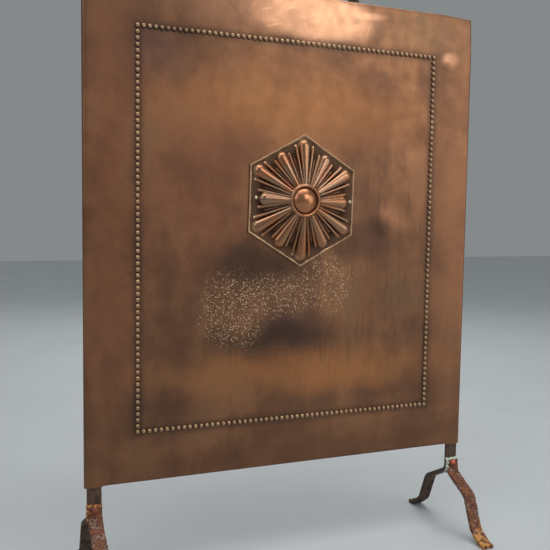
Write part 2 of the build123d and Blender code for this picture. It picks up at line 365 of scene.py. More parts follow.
@dataclass
class Wiring:
    """Adds and joins the nodes of one node tree."""

    tree: bpy.types.NodeTree

    def add(self, kind: str, **settings: object) -> bpy.types.Node:
        """Add a node.

        Args:
            kind: Blender's node type.
            settings: values of the node itself, not of its sockets.

        Returns:
            The node.
        """
        node = self.tree.nodes.new(kind)
        for name, value in settings.items():
            setattr(node, name, value)
        return node

    def feed(self, target: Socket, source: object) -> None:
        """Join a socket to another, or set its value.

        Args:
            target: the socket that takes the value.
            source: a socket, a number, a colour or a vector.
        """
        if isinstance(source, bpy.types.NodeSocket):
            self.tree.links.new(source, target)
        else:
            target.default_value = source

    def math(self, operation: str, first: object, second: object = 0.0, third: object = 0.0) -> Socket:
        """Do arithmetic on two numbers, or on three where the operation takes as many.

        Args:
            operation: what to do.
            first: the first number or socket.
            second: the second number or socket.
            third: the third number or socket.

        Returns:
            The result.
        """
        node = self.add("ShaderNodeMath", operation=operation)
        for target, source in zip(node.inputs, (first, second, third)):
            self.feed(target, source)
        return node.outputs[0]

    def product(self, *factors: object) -> Socket:
        """Multiply numbers.

        Args:
            factors: two or more numbers or sockets.

        Returns:
            Their product.
        """
        result = factors[0]
        for factor in factors[1:]:
            result = self.math("MULTIPLY", result, factor)
        return result

    def length(self, vector: Socket) -> Socket:
        """Measure a vector.

        Args:
            vector: the vector.

        Returns:
            Its length.
        """
        node = self.add("ShaderNodeVectorMath", operation="LENGTH")
        self.feed(node.inputs[0], vector)
        return node.outputs["Value"]

    def parts(self, vector: Socket) -> dict[str, Socket]:
        """Split a vector.

        Args:
            vector: the vector.

        Returns:
            Its parts by the names X, Y and Z.
        """
        node = self.add("ShaderNodeSeparateXYZ")
        self.feed(node.inputs[0], vector)
        return {axis: node.outputs[axis] for axis in "XYZ"}

    def vector(self, operation: str, first: object, second: object) -> Socket:
        """Do arithmetic on two vectors.

        Args:
            operation: what to do.
            first: the first vector or socket.
            second: the second vector or socket.

        Returns:
            The resulting vector.
        """
        node = self.add("ShaderNodeVectorMath", operation=operation)
        self.feed(node.inputs[0], first)
        self.feed(node.inputs[1], second)
        return node.outputs[0]

    def stretch(self, place_in: Socket, factors: tuple[float, float, float], turn: float = 0.0) -> Socket:
        """Turn a pattern about Y and stretch it along its own axes.

        Args:
            place_in: the coordinates.
            factors: how many times longer the pattern is along X, Y and Z.
            turn: turn about Y, in degrees.

        Returns:
            The new coordinates.
        """
        node = self.add("ShaderNodeMapping", vector_type="TEXTURE")
        self.feed(node.inputs["Vector"], place_in)
        node.inputs["Scale"].default_value = factors
        node.inputs["Rotation"].default_value = (0.0, math.radians(turn), 0.0)
        return node.outputs["Vector"]

    def noise(
        self,
        place_in: object,
        scale: object,
        detail: float = 4.0,
        rough: float = 0.5,
        output: str = "Fac",
    ) -> Socket:
        """Add a noise pattern.

        Args:
            place_in: its coordinates.
            scale: how fine it is.
            detail: its octaves.
            rough: the share of each finer octave.
            output: Fac for one number, Color for three that differ.

        Returns:
            The pattern.
        """
        node = self.add("ShaderNodeTexNoise")
        self.feed(node.inputs["Vector"], place_in)
        self.feed(node.inputs["Scale"], scale)
        node.inputs["Detail"].default_value = detail
        node.inputs["Roughness"].default_value = rough
        return node.outputs[output]

    def cells(self, place_in: object, scale: object, feature: str = "F1") -> bpy.types.Node:
        """Add a pattern of cells.

        Args:
            place_in: its coordinates.
            scale: how fine it is.
            feature: what is measured in each cell.

        Returns:
            The node, with outputs Distance and Color.
        """
        node = self.add("ShaderNodeTexVoronoi", feature=feature)
        self.feed(node.inputs["Vector"], place_in)
        self.feed(node.inputs["Scale"], scale)
        return node

    def span(
        self,
        value: object,
        low: object,
        high: object,
        start: object = 0.0,
        end: object = 1.0,
        kind: str = "SMOOTHSTEP",
    ) -> Socket:
        """Map a stretch of values to another, and hold it at both ends.

        Args:
            value: the value.
            low: the value that gives start.
            high: the value that gives end.
            start: the result at low.
            end: the result at high.
            kind: how it goes between the ends, softly or as LINEAR.

        Returns:
            The mapped value.
        """
        node = self.add("ShaderNodeMapRange", interpolation_type=kind)
        given = {"Value": value, "From Min": low, "From Max": high, "To Min": start, "To Max": end}
        for name, source in given.items():
            self.feed(node.inputs[name], source)
        return node.outputs[0]

    def blend(self, factor: object, first: object, second: object, mode: str = "MIX") -> Socket:
        """Blend two colours.

        Args:
            factor: how much of the second.
            first: the first colour or socket.
            second: the second colour or socket.
            mode: how they blend.

        Returns:
            The blended colour.
        """
        node = self.add("ShaderNodeMix", data_type="RGBA", blend_type=mode)
        colours = [socket for socket in node.inputs if socket.type == "RGBA"]
        self.feed(node.inputs["Factor"], factor)
        self.feed(colours[0], first)
        self.feed(colours[1], second)
        return next(socket for socket in node.outputs if socket.type == "RGBA")

    def ramp(self, value: Socket, stops: list[tuple[float, Colour]]) -> Socket:
        """Turn a value into a colour through a row of stops.

        Args:
            value: the value.
            stops: places from 0 to 1, each with its colour.

        Returns:
            The colour.
        """
        node = self.add("ShaderNodeValToRGB")
        band = node.color_ramp
        while len(band.elements) < len(stops):
            band.elements.new(1.0)
        for element, (position, colour) in zip(band.elements, stops):
            element.position = position
            element.color = colour
        self.feed(node.inputs["Fac"], value)
        return node.outputs["Color"]

    def effect(self, group: bpy.types.NodeTree, **values: object) -> Socket:
        """Place a shared effect.

        Args:
            group: the effect's node group.
            values: its inputs by name, with _ for a space.

        Returns:
            Its first output.
        """
        node = self.add("ShaderNodeGroup", node_tree=group)
        for name, source in values.items():
            self.feed(node.inputs[name.replace("_", " ")], source)
        return node.outputs[0]

    def bump(
        self,
        height: Socket,
        depth: float,
        strength: float = 1.0,
        under: Socket | None = None,
    ) -> Socket:
        """Turn a height into a normal.

        Args:
            height: the height, from 0 to 1.
            depth: the height of 1, in metres.
            strength: how much of it shows.
            under: another bump's normal to stand on.

        Returns:
            The normal.
        """
        node = self.add("ShaderNodeBump")
        self.feed(node.inputs["Height"], height)
        node.inputs["Distance"].default_value = depth
        node.inputs["Strength"].default_value = strength
        if under is not None:
            self.feed(node.inputs["Normal"], under)
        return node.outputs["Normal"]


THROUGH = 10.0  # a stain's reach along Y: it goes through the whole sheet
PATTERN = {"Place": "Vector", "Fineness": "Float"}
COVERING = PATTERN | {"Cover": "Float"}


def new_effect(
    name: str,
    inputs: dict[str, str],
    output: str = "Mask",
) -> tuple[Wiring, dict[str, Socket], Socket]:
    """Start a shared effect as a node group.

    Args:
        name: the group's name.
        inputs: the name and kind of each input, where the kind is Float or Vector.
        output: the name of its one value output.

    Returns:
        Its wiring, its inputs by name, and the socket that takes its result.
    """
    tree = bpy.data.node_groups.new(name, "ShaderNodeTree")
    for title, kind in inputs.items():
        tree.interface.new_socket(name=title, in_out="INPUT", socket_type=f"NodeSocket{kind}")
    tree.interface.new_socket(name=output, in_out="OUTPUT", socket_type="NodeSocketFloat")
    wiring = Wiring(tree)
    source = wiring.add("NodeGroupInput")
    sink = wiring.add("NodeGroupOutput")
    return wiring, {title: source.outputs[title] for title in inputs}, sink.inputs[output]


class Effects:
    """Shared surface effects, each built once as a node group."""

    def __init__(self) -> None:
        """Build every effect."""
        self.soft_patch = self._soft_patch()
        self.drips = self._drips()
        self.scratches = self._scratches()
        self.specks = self._specks()
        self.proud = self._proud()
        self.border_band = self._border_band()
        self.distance = self._distance()
        self.pits = self._pits()

    @staticmethod
    def _soft_patch() -> bpy.types.NodeTree:
        """Mask of one patch, a stain or a painted highlight: an oval on the sheet with a wandering edge.

        Returns:
            The node group.
        """
        wiring, given, result = new_effect(
            "soft_patch",
            {"Place": "Vector", "Centre": "Vector", "Reach": "Vector", "Edge": "Float", "Wander": "Float"},
        )
        noise = wiring.noise(given["Place"], 17.0, detail=4.0, rough=0.55, output="Color")
        drift = wiring.vector("SUBTRACT", noise, (0.5, 0.5, 0.5))
        scaled = wiring.add("ShaderNodeVectorMath", operation="SCALE")
        wiring.feed(scaled.inputs[0], drift)
        wiring.feed(scaled.inputs["Scale"], given["Wander"])
        moved = wiring.vector("ADD", given["Place"], scaled.outputs[0])
        offset = wiring.vector("SUBTRACT", moved, given["Centre"])
        distance = wiring.length(wiring.vector("DIVIDE", offset, given["Reach"]))
        inner = wiring.math("SUBTRACT", 1.0, given["Edge"])
        outer = wiring.math("ADD", 1.0, given["Edge"])
        wiring.feed(result, wiring.span(distance, inner, outer, 1.0, 0.0))
        return wiring.tree

    @staticmethod
    def _drips() -> bpy.types.NodeTree:
        """Mask of runs that liquid left on its way down.

        Returns:
            The node group.
        """
        wiring, given, result = new_effect("drips", COVERING)
        downwards = wiring.stretch(given["Place"], (1.0, 5.0, 11.0))
        runs = wiring.noise(downwards, given["Fineness"], detail=3.0, rough=0.55)
        clouds = wiring.noise(given["Place"], 45.0, detail=3.0)
        breaks = wiring.math("MULTIPLY_ADD", clouds, 0.25, -0.125)
        total = wiring.math("ADD", runs, breaks)
        low = wiring.math("SUBTRACT", 1.0, given["Cover"])
        wiring.feed(result, wiring.span(total, low, wiring.math("ADD", low, 0.3)))
        return wiring.tree

    @staticmethod
    def _scratches() -> bpy.types.NodeTree:
        """Mask of fine rubbed scratches in four directions.

        Returns:
            The node group.
        """
        wiring, given, result = new_effect("scratches", PATTERN)
        total: Socket | None = None
        for turn in (12.0, -38.0, 74.0, 100.0):
            lines = wiring.stretch(given["Place"], (1.0, 2.0, 14.0), turn)
            noise = wiring.noise(lines, given["Fineness"], detail=2.0, rough=0.4)
            mask = wiring.span(noise, 0.68, 0.76)
            total = mask if total is None else wiring.math("MAXIMUM", total, mask)
        wiring.feed(result, total)
        return wiring.tree

    @staticmethod
    def _specks() -> bpy.types.NodeTree:
        """Mask of scattered mineral specks.

        Returns:
            The node group.
        """
        wiring, given, result = new_effect("specks", COVERING)
        cells = wiring.cells(given["Place"], given["Fineness"])
        dot = wiring.span(cells.outputs["Distance"], 0.16, 0.34, 1.0, 0.0)
        luck = wiring.add("ShaderNodeSeparateColor")
        wiring.feed(luck.inputs[0], cells.outputs["Color"])
        kept = wiring.math("LESS_THAN", luck.outputs[0], given["Cover"])
        wiring.feed(result, wiring.product(dot, kept))
        return wiring.tree

    @staticmethod
    def _proud() -> bpy.types.NodeTree:
        """Mask of what stands out in front, where hands and cloths rub.

        Returns:
            The node group.
        """
        wiring, given, result = new_effect("proud", {"Place": "Vector", "Foot": "Float", "Top": "Float"})
        depth = wiring.parts(given["Place"])["Y"]
        wiring.feed(result, wiring.span(depth, given["Foot"], given["Top"]))
        return wiring.tree

    @staticmethod
    def _border_band() -> bpy.types.NodeTree:
        """Mask of the strip on both sides of the bead border.

        Returns:
            The node group.
        """
        wiring, given, result = new_effect(
            "border_band",
            {
                "Place": "Vector",
                "Half Width": "Float",
                "Half Height": "Float",
                "Middle": "Float",
                "Reach": "Float",
            },
        )
        parts = wiring.parts(given["Place"])
        across = wiring.math("SUBTRACT", wiring.math("ABSOLUTE", parts["X"]), given["Half Width"])
        height = wiring.math("ABSOLUTE", wiring.math("SUBTRACT", parts["Z"], given["Middle"]))
        up = wiring.math("SUBTRACT", height, given["Half Height"])
        distance = wiring.math("ABSOLUTE", wiring.math("MAXIMUM", across, up))
        wiring.feed(result, wiring.span(distance, 0.0, given["Reach"], 1.0, 0.0))
        return wiring.tree

    @staticmethod
    def _distance() -> bpy.types.NodeTree:
        """Distance from an axis along Y.

        Returns:
            The node group.
        """
        wiring, given, result = new_effect("distance", {"Place": "Vector", "Centre": "Vector"}, "Distance")
        offset = wiring.vector("SUBTRACT", given["Place"], given["Centre"])
        wiring.feed(result, wiring.length(wiring.vector("MULTIPLY", offset, (1.0, 0.0, 1.0))))
        return wiring.tree

    @staticmethod
    def _pits() -> bpy.types.NodeTree:
        """Height of a pitted and scaled iron surface.

        Returns:
            The node group.
        """
        wiring, given, result = new_effect("pits", PATTERN, "Height")
        rough = wiring.noise(given["Place"], given["Fineness"], detail=6.0, rough=0.62)
        cells = wiring.cells(given["Place"], given["Fineness"], "SMOOTH_F1")
        holes = wiring.span(cells.outputs["Distance"], 0.0, 0.35)
        wiring.feed(result, wiring.product(rough, holes))
        return wiring.tree


# ------------------------------------------------------------------ finishes


class Tone(Enum):
    """Base colours of the finishes, linear."""

    COPPER_DARK = (0.14, 0.069, 0.041, 1.0)
    COPPER_BROWN = (0.20, 0.098, 0.056, 1.0)
    COPPER_WARM = (0.30, 0.142, 0.073, 1.0)
    COPPER_BRIGHT = (0.82, 0.44, 0.26, 1.0)
    COPPER_ORANGE = (0.44, 0.185, 0.07, 1.0)
    COPPER_RED = (0.26, 0.10, 0.055, 1.0)
    SMOKE = (0.07, 0.042, 0.032, 1.0)
    PLUM = (0.09, 0.05, 0.045, 1.0)
    OLIVE = (0.23, 0.145, 0.08, 1.0)
    PETAL = (0.37, 0.175, 0.09, 1.0)
    PETAL_RED = (0.40, 0.155, 0.075, 1.0)
    PETAL_GREY = (0.33, 0.20, 0.125, 1.0)
    DOME = (0.50, 0.20, 0.09, 1.0)
    RIM = (0.66, 0.45, 0.27, 1.0)
    GROUND = (0.12, 0.066, 0.04, 1.0)
    LIME_DUST = (0.74, 0.54, 0.34, 1.0)
    # near black: dark patina and painted shade in the gaps between the rosette's rays
    HOLLOW_PATINA_AND_SHADE = (0.05, 0.022, 0.012, 1.0)
    BORDER_DIRT = (0.085, 0.052, 0.036, 1.0)
    BEAD_TOP = (0.46, 0.31, 0.18, 1.0)
    IRON_BLACK = (0.034, 0.021, 0.014, 1.0)
    IRON_BROWN = (0.115, 0.068, 0.042, 1.0)
    RUST_DARK = (0.035, 0.016, 0.011, 1.0)
    RUST_RED = (0.15, 0.042, 0.022, 1.0)
    RUST_GREY = (0.33, 0.25, 0.20, 1.0)
    RUST_ORANGE = (0.29, 0.10, 0.03, 1.0)
    OCHRE = (0.52, 0.25, 0.07, 1.0)
    VERDIGRIS = (0.20, 0.33, 0.22, 1.0)
    CHALK = (0.62, 0.64, 0.54, 1.0)
    RED_COPPER = (0.72, 0.17, 0.10, 1.0)
    TIN = (0.74, 0.60, 0.38, 1.0)
    FLOOR = (0.45, 0.48, 0.50, 1.0)


@dataclass(frozen=True)
class ColourPatch:
    """One patch on the sheet, a stain or a painted highlight: where it lies, how large it is and what it does
    to the colour.
    """

    across: float
    up: float
    reach_across: float
    reach_up: float
    tone: Tone
    strength: float = 0.6
    edge: float = 0.5
    wander: float = 0.05


@dataclass(frozen=True)
class Finish:
    """A finish that builds its own material once."""

    name: str
    effects: Effects

    def material(self) -> bpy.types.Material:
        """Give the finish's material, and build it at first use.

        Returns:
            The material.
        """
        found = bpy.data.materials.get(self.name)
        if found is not None:
            return found
        made = bpy.data.materials.new(self.name)
        made.use_nodes = True
        wiring = Wiring(made.node_tree)
        shader = made.node_tree.nodes["Principled BSDF"]
        place_in = wiring.add("ShaderNodeTexCoord").outputs["Object"]
        self.dress(wiring, shader, place_in)
        return made

    def dress(self, wiring: Wiring, shader: bpy.types.Node, place_in: Socket) -> None:
        """Wire the finish into its shader.

        Args:
            wiring: the material's wiring.
            shader: the Principled BSDF.
            place_in: object coordinates.
        """
        raise NotImplementedError


RUN_FIELDS = (
    ColourPatch(0.10, 0.36, 0.12, 0.15, Tone.SMOKE, edge=0.45),
    ColourPatch(0.0, 0.275, 0.13, 0.045, Tone.SMOKE, edge=0.4),
)
DUST_FIELDS = (
    ColourPatch(-0.078, 0.312, 0.042, 0.044, Tone.LIME_DUST, edge=0.35, wander=0.04),
    ColourPatch(-0.020, 0.328, 0.052, 0.028, Tone.LIME_DUST, edge=0.35, wander=0.04),
    ColourPatch(0.045, 0.338, 0.040, 0.036, Tone.LIME_DUST, edge=0.35, wander=0.04),
)


@dataclass(frozen=True)
class AgedCopper(Finish):
    """Brown copper sheet with stains, drips, dust specks and rubbed beads, and painted highlights: the bright
    top, which is also worn copper, a small knock and a crease.
    """

    front: float
    half_width: float
    half_height: float
    middle: float
    # the bright top, partly worn copper and partly a painted highlight
    brightened: ColourPatch
    # stains, and among them a few painted highlights
    stains: tuple[ColourPatch, ...]
    run_strength: float = 0.45
    border_reach: float = 0.011
    bead_foot: float = 0.0009
    bead_top: float = 0.0024
    bead_rub: float = 0.75
    grain_height: float = 0.0008
    fine_height: float = 0.00012

    def dress(self, wiring: Wiring, shader: bpy.types.Node, place_in: Socket) -> None:
        """Wire the sheet's finish.

        Args:
            wiring: the material's wiring.
            shader: the Principled BSDF.
            place_in: object coordinates.
        """
        colour = self._ground(wiring, place_in)
        # stains, and a few bright patches that are painted highlights
        for stain in self.stains:
            strength = wiring.product(self._patch_mask(wiring, place_in, stain), stain.strength)
            colour = wiring.blend(strength, colour, stain.tone.value)
        colour = wiring.blend(self._runs(wiring, place_in), colour, Tone.SMOKE.value)
        dust = self._dust(wiring, place_in)
        colour = wiring.blend(dust, colour, Tone.LIME_DUST.value)
        dirt, on_beads = self._border(wiring, place_in)
        colour = wiring.blend(dirt, colour, Tone.BORDER_DIRT.value)
        colour = wiring.blend(wiring.product(on_beads, self.bead_rub), colour, Tone.BEAD_TOP.value)
        # mask of the bright top, partly rubbed copper and partly a painted highlight; it also adds scratches
        # and a smoother surface there
        polish_and_highlight = self._patch_mask(wiring, place_in, self.brightened)
        scratches = wiring.effect(self.effects.scratches, Place=place_in, Fineness=300.0)
        marks = wiring.product(scratches, wiring.span(polish_and_highlight, 0.0, 1.0, 0.03, 0.5))
        colour = wiring.blend(marks, colour, Tone.COPPER_BRIGHT.value)
        grain = wiring.noise(place_in, 60.0, detail=5.0, rough=0.6)
        inside = wiring.add("ShaderNodeAttribute", attribute_name=INSIDE).outputs["Fac"]
        dull = wiring.ramp(grain, [(0.35, Tone.SMOKE.value), (0.6, Tone.COPPER_DARK.value)])
        wiring.feed(shader.inputs["Base Color"], wiring.blend(inside, colour, dull))
        sheen = wiring.span(grain, 0.3, 0.7, 0.38, 0.5)
        sheen = wiring.math("SUBTRACT", sheen, wiring.product(polish_and_highlight, 0.1))
        sheen = wiring.math("SUBTRACT", sheen, wiring.product(on_beads, 0.14))
        wiring.feed(shader.inputs["Roughness"], wiring.math("ADD", sheen, wiring.product(dust, 0.3)))
        wiring.feed(shader.inputs["Metallic"], wiring.span(dust, 0.0, 1.0, 0.9, 0.1))
        fine = wiring.noise(place_in, 300.0, detail=4.0, rough=0.6)
        soft = wiring.bump(grain, self.grain_height, 0.3)
        wiring.feed(shader.inputs["Normal"], wiring.bump(fine, self.fine_height, 0.4, soft))

    @staticmethod
    def _ground(wiring: Wiring, place_in: Socket) -> Socket:
        """Brown of the sheet, in large soft clouds with finer ones wiped downwards.

        Args:
            wiring: the material's wiring.
            place_in: object coordinates.

        Returns:
            The colour.
        """
        clouds = wiring.noise(place_in, 8.0, detail=7.0, rough=0.58)
        downwards = wiring.stretch(place_in, (1.0, 1.0, 2.6))
        wiped = wiring.noise(downwards, 30.0, detail=5.0, rough=0.6)
        tone = wiring.math("ADD", wiring.product(clouds, 0.7), wiring.product(wiped, 0.3))
        stops = [
            (0.32, Tone.COPPER_DARK.value),
            (0.46, Tone.COPPER_BROWN.value),
            (0.55, Tone.COPPER_WARM.value),
            (0.68, Tone.OLIVE.value),
        ]
        return wiring.ramp(tone, stops)

    def _patch_mask(self, wiring: Wiring, place_in: Socket, stain: ColourPatch) -> Socket:
        """Mask of one patch: a stain or a painted highlight.

        Args:
            wiring: the material's wiring.
            place_in: object coordinates.
            stain: the patch, a stain or a painted highlight.

        Returns:
            The mask.
        """
        return wiring.effect(
            self.effects.soft_patch,
            Place=place_in,
            Centre=(stain.across, 0.0, stain.up),
            Reach=(stain.reach_across, THROUGH, stain.reach_up),
            Edge=stain.edge,
            Wander=stain.wander,
        )

    def _fields(self, wiring: Wiring, place_in: Socket, fields: tuple[ColourPatch, ...]) -> Socket:
        """Mask of several stains that run together.

        Args:
            wiring: the material's wiring.
            place_in: object coordinates.
            fields: the stains.

        Returns:
            The mask.
        """
        cover = self._patch_mask(wiring, place_in, fields[0])
        for field in fields[1:]:
            cover = wiring.math("MAXIMUM", cover, self._patch_mask(wiring, place_in, field))
        return cover

    def _runs(self, wiring: Wiring, place_in: Socket) -> Socket:
        """Strength of the dark runs under the smoky stain.

        Args:
            wiring: the material's wiring.
            place_in: object coordinates.

        Returns:
            The strength.
        """
        drips = wiring.effect(self.effects.drips, Place=place_in, Fineness=150.0, Cover=0.5)
        return wiring.product(drips, self._fields(wiring, place_in, RUN_FIELDS), self.run_strength)

    def _dust(self, wiring: Wiring, place_in: Socket) -> Socket:
        """Mask of the mineral specks, large and small, in three fields that run together.

        Args:
            wiring: the material's wiring.
            place_in: object coordinates.

        Returns:
            The mask.
        """
        large = wiring.effect(self.effects.specks, Place=place_in, Fineness=380.0, Cover=0.75)
        small = wiring.effect(self.effects.specks, Place=place_in, Fineness=600.0, Cover=0.6)
        specks = wiring.math("MAXIMUM", large, wiring.product(small, 0.7))
        return wiring.product(specks, self._fields(wiring, place_in, DUST_FIELDS))

    def _border(self, wiring: Wiring, place_in: Socket) -> tuple[Socket, Socket]:
        """Masks of the dirt beside the beads and of the beads' rubbed tops.

        Args:
            wiring: the material's wiring.
            place_in: object coordinates.

        Returns:
            The two masks.
        """
        band = wiring.effect(
            self.effects.border_band,
            Place=place_in,
            Half_Width=self.half_width,
            Half_Height=self.half_height,
            Middle=self.middle,
            Reach=self.border_reach,
        )
        proud = wiring.effect(
            self.effects.proud,
            Place=place_in,
            Foot=self.front - self.bead_foot,
            Top=self.front - self.bead_top,
        )
        clouds = wiring.noise(place_in, 22.0, detail=5.0, rough=0.6)
        cover = wiring.product(band, wiring.span(clouds, 0.3, 0.6, 0.35, 0.8))
        dirt = wiring.product(cover, wiring.math("SUBTRACT", 1.0, proud))
        return dirt, wiring.product(wiring.span(band, 0.55, 0.7), proud)


@dataclass(frozen=True)
class RubbedCopper(Finish):
    """Pressed copper, dark in its hollows, with dark patina and painted shade between the rays, and rubbed
    bright on its high parts.
    """

    centre: tuple[float, float, float]
    ground: float
    boss: float
    root: float
    rise: float
    ring_edge: float = 0.002
    open_start: float = 0.055
    open_end: float = 0.066
    rim_start: float = 1.14
    rim_full: float = 1.17
    rim_foot: float = 0.0022
    rim_top: float = 0.003
    rub_wander: float = 0.0012
    rub_start: float = 0.00015
    rub_inside: float = 0.0013
    rub_outside: float = 0.0005

    def dress(self, wiring: Wiring, shader: bpy.types.Node, place_in: Socket) -> None:
        """Wire the rosette's finish.

        Args:
            wiring: the material's wiring.
            shader: the Principled BSDF.
            place_in: object coordinates.
        """
        out = wiring.effect(self.effects.distance, Place=place_in, Centre=self.centre)
        lift = wiring.span(out, self.boss, self.root, 0.0, self.rise, kind="LINEAR")
        front = wiring.math("SUBTRACT", self.ground, wiring.parts(place_in)["Y"])
        height = wiring.math("SUBTRACT", front, lift)
        brightened = self._worn(wiring, place_in, out, height)
        high = self._high(wiring, place_in, out, height)
        # the low ground between the rays gets dark patina with painted shade; the open ground further out
        # stays brown
        open_ground = wiring.span(out, self.open_start, self.open_end)
        low = wiring.blend(open_ground, Tone.HOLLOW_PATINA_AND_SHADE.value, Tone.GROUND.value)
        wiring.feed(shader.inputs["Base Color"], wiring.blend(brightened, low, high))
        wiring.feed(shader.inputs["Roughness"], wiring.span(brightened, 0.0, 1.0, 0.6, 0.26))
        shader.inputs["Metallic"].default_value = 0.92
        fine = wiring.noise(place_in, 420.0, detail=4.0, rough=0.6)
        wiring.feed(shader.inputs["Normal"], wiring.bump(fine, 0.00016, 0.4))

    def _worn(self, wiring: Wiring, place_in: Socket, out: Socket, height: Socket) -> Socket:
        """Mask of what is rubbed bright: the high parts, with a wandering limit.

        Args:
            wiring: the material's wiring.
            place_in: object coordinates.
            out: distance from the rosette's middle.
            height: height above the ground.

        Returns:
            The mask.
        """
        clouds = wiring.noise(place_in, 70.0, detail=6.0, rough=0.62)
        wander = wiring.product(wiring.math("SUBTRACT", clouds, 0.5), self.rub_wander)
        full = wiring.span(out, self.boss, self.boss * 1.15, self.rub_inside, self.rub_outside)
        return wiring.span(wiring.math("ADD", height, wander), self.rub_start, full)

    def _high(self, wiring: Wiring, place_in: Socket, out: Socket, height: Socket) -> Socket:
        """Colour of the rubbed parts: petals, the dome in its ring and the rim.

        Args:
            wiring: the material's wiring.
            place_in: object coordinates.
            out: distance from the rosette's middle.
            height: height above the ground.

        Returns:
            The colour.
        """
        stops = [
            (0.30, Tone.PETAL_RED.value),
            (0.45, Tone.PETAL.value),
            (0.57, Tone.PETAL_GREY.value),
            (0.70, Tone.PETAL_RED.value),
        ]
        petals = wiring.ramp(wiring.noise(place_in, 34.0, detail=5.0, rough=0.6), stops)
        in_ring = wiring.span(out, self.root - self.ring_edge, self.root, 1.0, 0.0)
        inner = wiring.blend(wiring.product(in_ring, 0.7), petals, Tone.DOME.value)
        beyond = wiring.span(out, self.boss * self.rim_start, self.boss * self.rim_full)
        on_rim = wiring.product(beyond, wiring.span(height, self.rim_foot, self.rim_top, 1.0, 0.0))
        return wiring.blend(wiring.product(on_rim, 0.8), inner, Tone.RIM.value)


@dataclass(frozen=True)
class Iron(Finish):
    """Iron bar under a skin of black, brown or rust."""

    tones: tuple[tuple[float, Tone], ...]
    fineness: float = 110.0
    rough_low: float = 0.5
    rough_high: float = 0.85
    metal: float = 0.35
    depth: float = 0.0006
    foot_tone: Tone | None = None
    foot_rise: float = 0.034

    def dress(self, wiring: Wiring, shader: bpy.types.Node, place_in: Socket) -> None:
        """Wire the iron's finish.

        Args:
            wiring: the material's wiring.
            shader: the Principled BSDF.
            place_in: object coordinates.
        """
        patches = wiring.noise(place_in, self.fineness, detail=7.0, rough=0.68)
        colour = wiring.ramp(patches, [(position, tone.value) for position, tone in self.tones])
        if self.foot_tone is not None:
            height = wiring.parts(place_in)["Z"]
            low = wiring.span(height, self.foot_rise / 6, self.foot_rise, 1.0, 0.0)
            flakes = wiring.span(wiring.noise(place_in, 120.0, detail=6.0, rough=0.6), 0.45, 0.56)
            colour = wiring.blend(wiring.product(low, flakes), colour, self.foot_tone.value)
        wiring.feed(shader.inputs["Base Color"], colour)
        dullness = wiring.span(patches, 0.35, 0.65, self.rough_low, self.rough_high)
        wiring.feed(shader.inputs["Roughness"], dullness)
        shader.inputs["Metallic"].default_value = self.metal
        pits = wiring.effect(self.effects.pits, Place=place_in, Fineness=420.0)
        lumps = wiring.bump(patches, self.depth, 0.7)
        wiring.feed(shader.inputs["Normal"], wiring.bump(pits, self.depth / 2, 0.8, lumps))


@dataclass(frozen=True)
class Crust(Finish):
    """Rough braze under a crust."""

    dark: Tone
    middle: Tone
    pale: Tone

    def dress(self, wiring: Wiring, shader: bpy.types.Node, place_in: Socket) -> None:
        """Wire the crust's finish.

        Args:
            wiring: the material's wiring.
            shader: the Principled BSDF.
            place_in: object coordinates.
        """
        patches = wiring.noise(place_in, 380.0, detail=6.0, rough=0.7)
        stops = [
            (0.32, Tone.RUST_DARK.value),
            (0.42, self.dark.value),
            (0.50, self.middle.value),
            (0.58, self.pale.value),
        ]
        wiring.feed(shader.inputs["Base Color"], wiring.ramp(patches, stops))
        shader.inputs["Roughness"].default_value = 0.9
        wiring.feed(shader.inputs["Normal"], wiring.bump(patches, 0.0008, 0.9))


@dataclass(frozen=True)
class RivetMetal(Finish):
    """Hammered rivet or pin metal with dirt or verdigris round it."""

    clean: Tone
    dirty: Tone
    rough: float = 0.36
    metal: float = 0.9
    dirt: float = 0.34
    worn_side: bool = False
    side_reach: float = 0.1

    def dress(self, wiring: Wiring, shader: bpy.types.Node, place_in: Socket) -> None:
        """Wire the rivet's finish.

        Args:
            wiring: the material's wiring.
            shader: the Principled BSDF.
            place_in: object coordinates.
        """
        patches = wiring.noise(place_in, 520.0, detail=5.0, rough=0.65)
        mask = wiring.span(patches, self.dirt, self.dirt + 0.14)
        if self.worn_side:
            across = wiring.parts(place_in)["X"]
            clear = wiring.span(across, -self.side_reach, self.side_reach, 0.15, 1.0)
            mask = wiring.product(mask, clear)
        wiring.feed(shader.inputs["Base Color"], wiring.blend(mask, self.dirty.value, self.clean.value))
        wiring.feed(shader.inputs["Roughness"], wiring.span(mask, 0.0, 1.0, 0.8, self.rough))
        wiring.feed(shader.inputs["Metallic"], wiring.span(mask, 0.0, 1.0, 0.1, self.metal))
        wiring.feed(shader.inputs["Normal"], wiring.bump(patches, 0.0005, 0.7))


@dataclass(frozen=True)
class StudioFloor(Finish):
    """Pale, very slightly mottled floor."""

    def dress(self, wiring: Wiring, shader: bpy.types.Node, place_in: Socket) -> None:
        """Wire the floor's finish.

        Args:
            wiring: the material's wiring.
            shader: the Principled BSDF.
            place_in: object coordinates.
        """
        mottled = wiring.noise(place_in, 5.0, detail=5.0, rough=0.6)
        pale = Tone.FLOOR.value
        darker = tuple(channel * 0.93 for channel in pale[:3]) + (1.0,)
        wiring.feed(shader.inputs["Base Color"], wiring.ramp(mottled, [(0.3, darker), (0.7, pale)]))
        shader.inputs["Roughness"].default_value = 0.62


# ------------------------------------------------------------------ pieces


@dataclass(frozen=True)
class Knock:
    """One dent or bulge in the sheet: where it is, how far it goes in and how wide it is."""

    across: float
    up: float
    depth: float
    reach: float


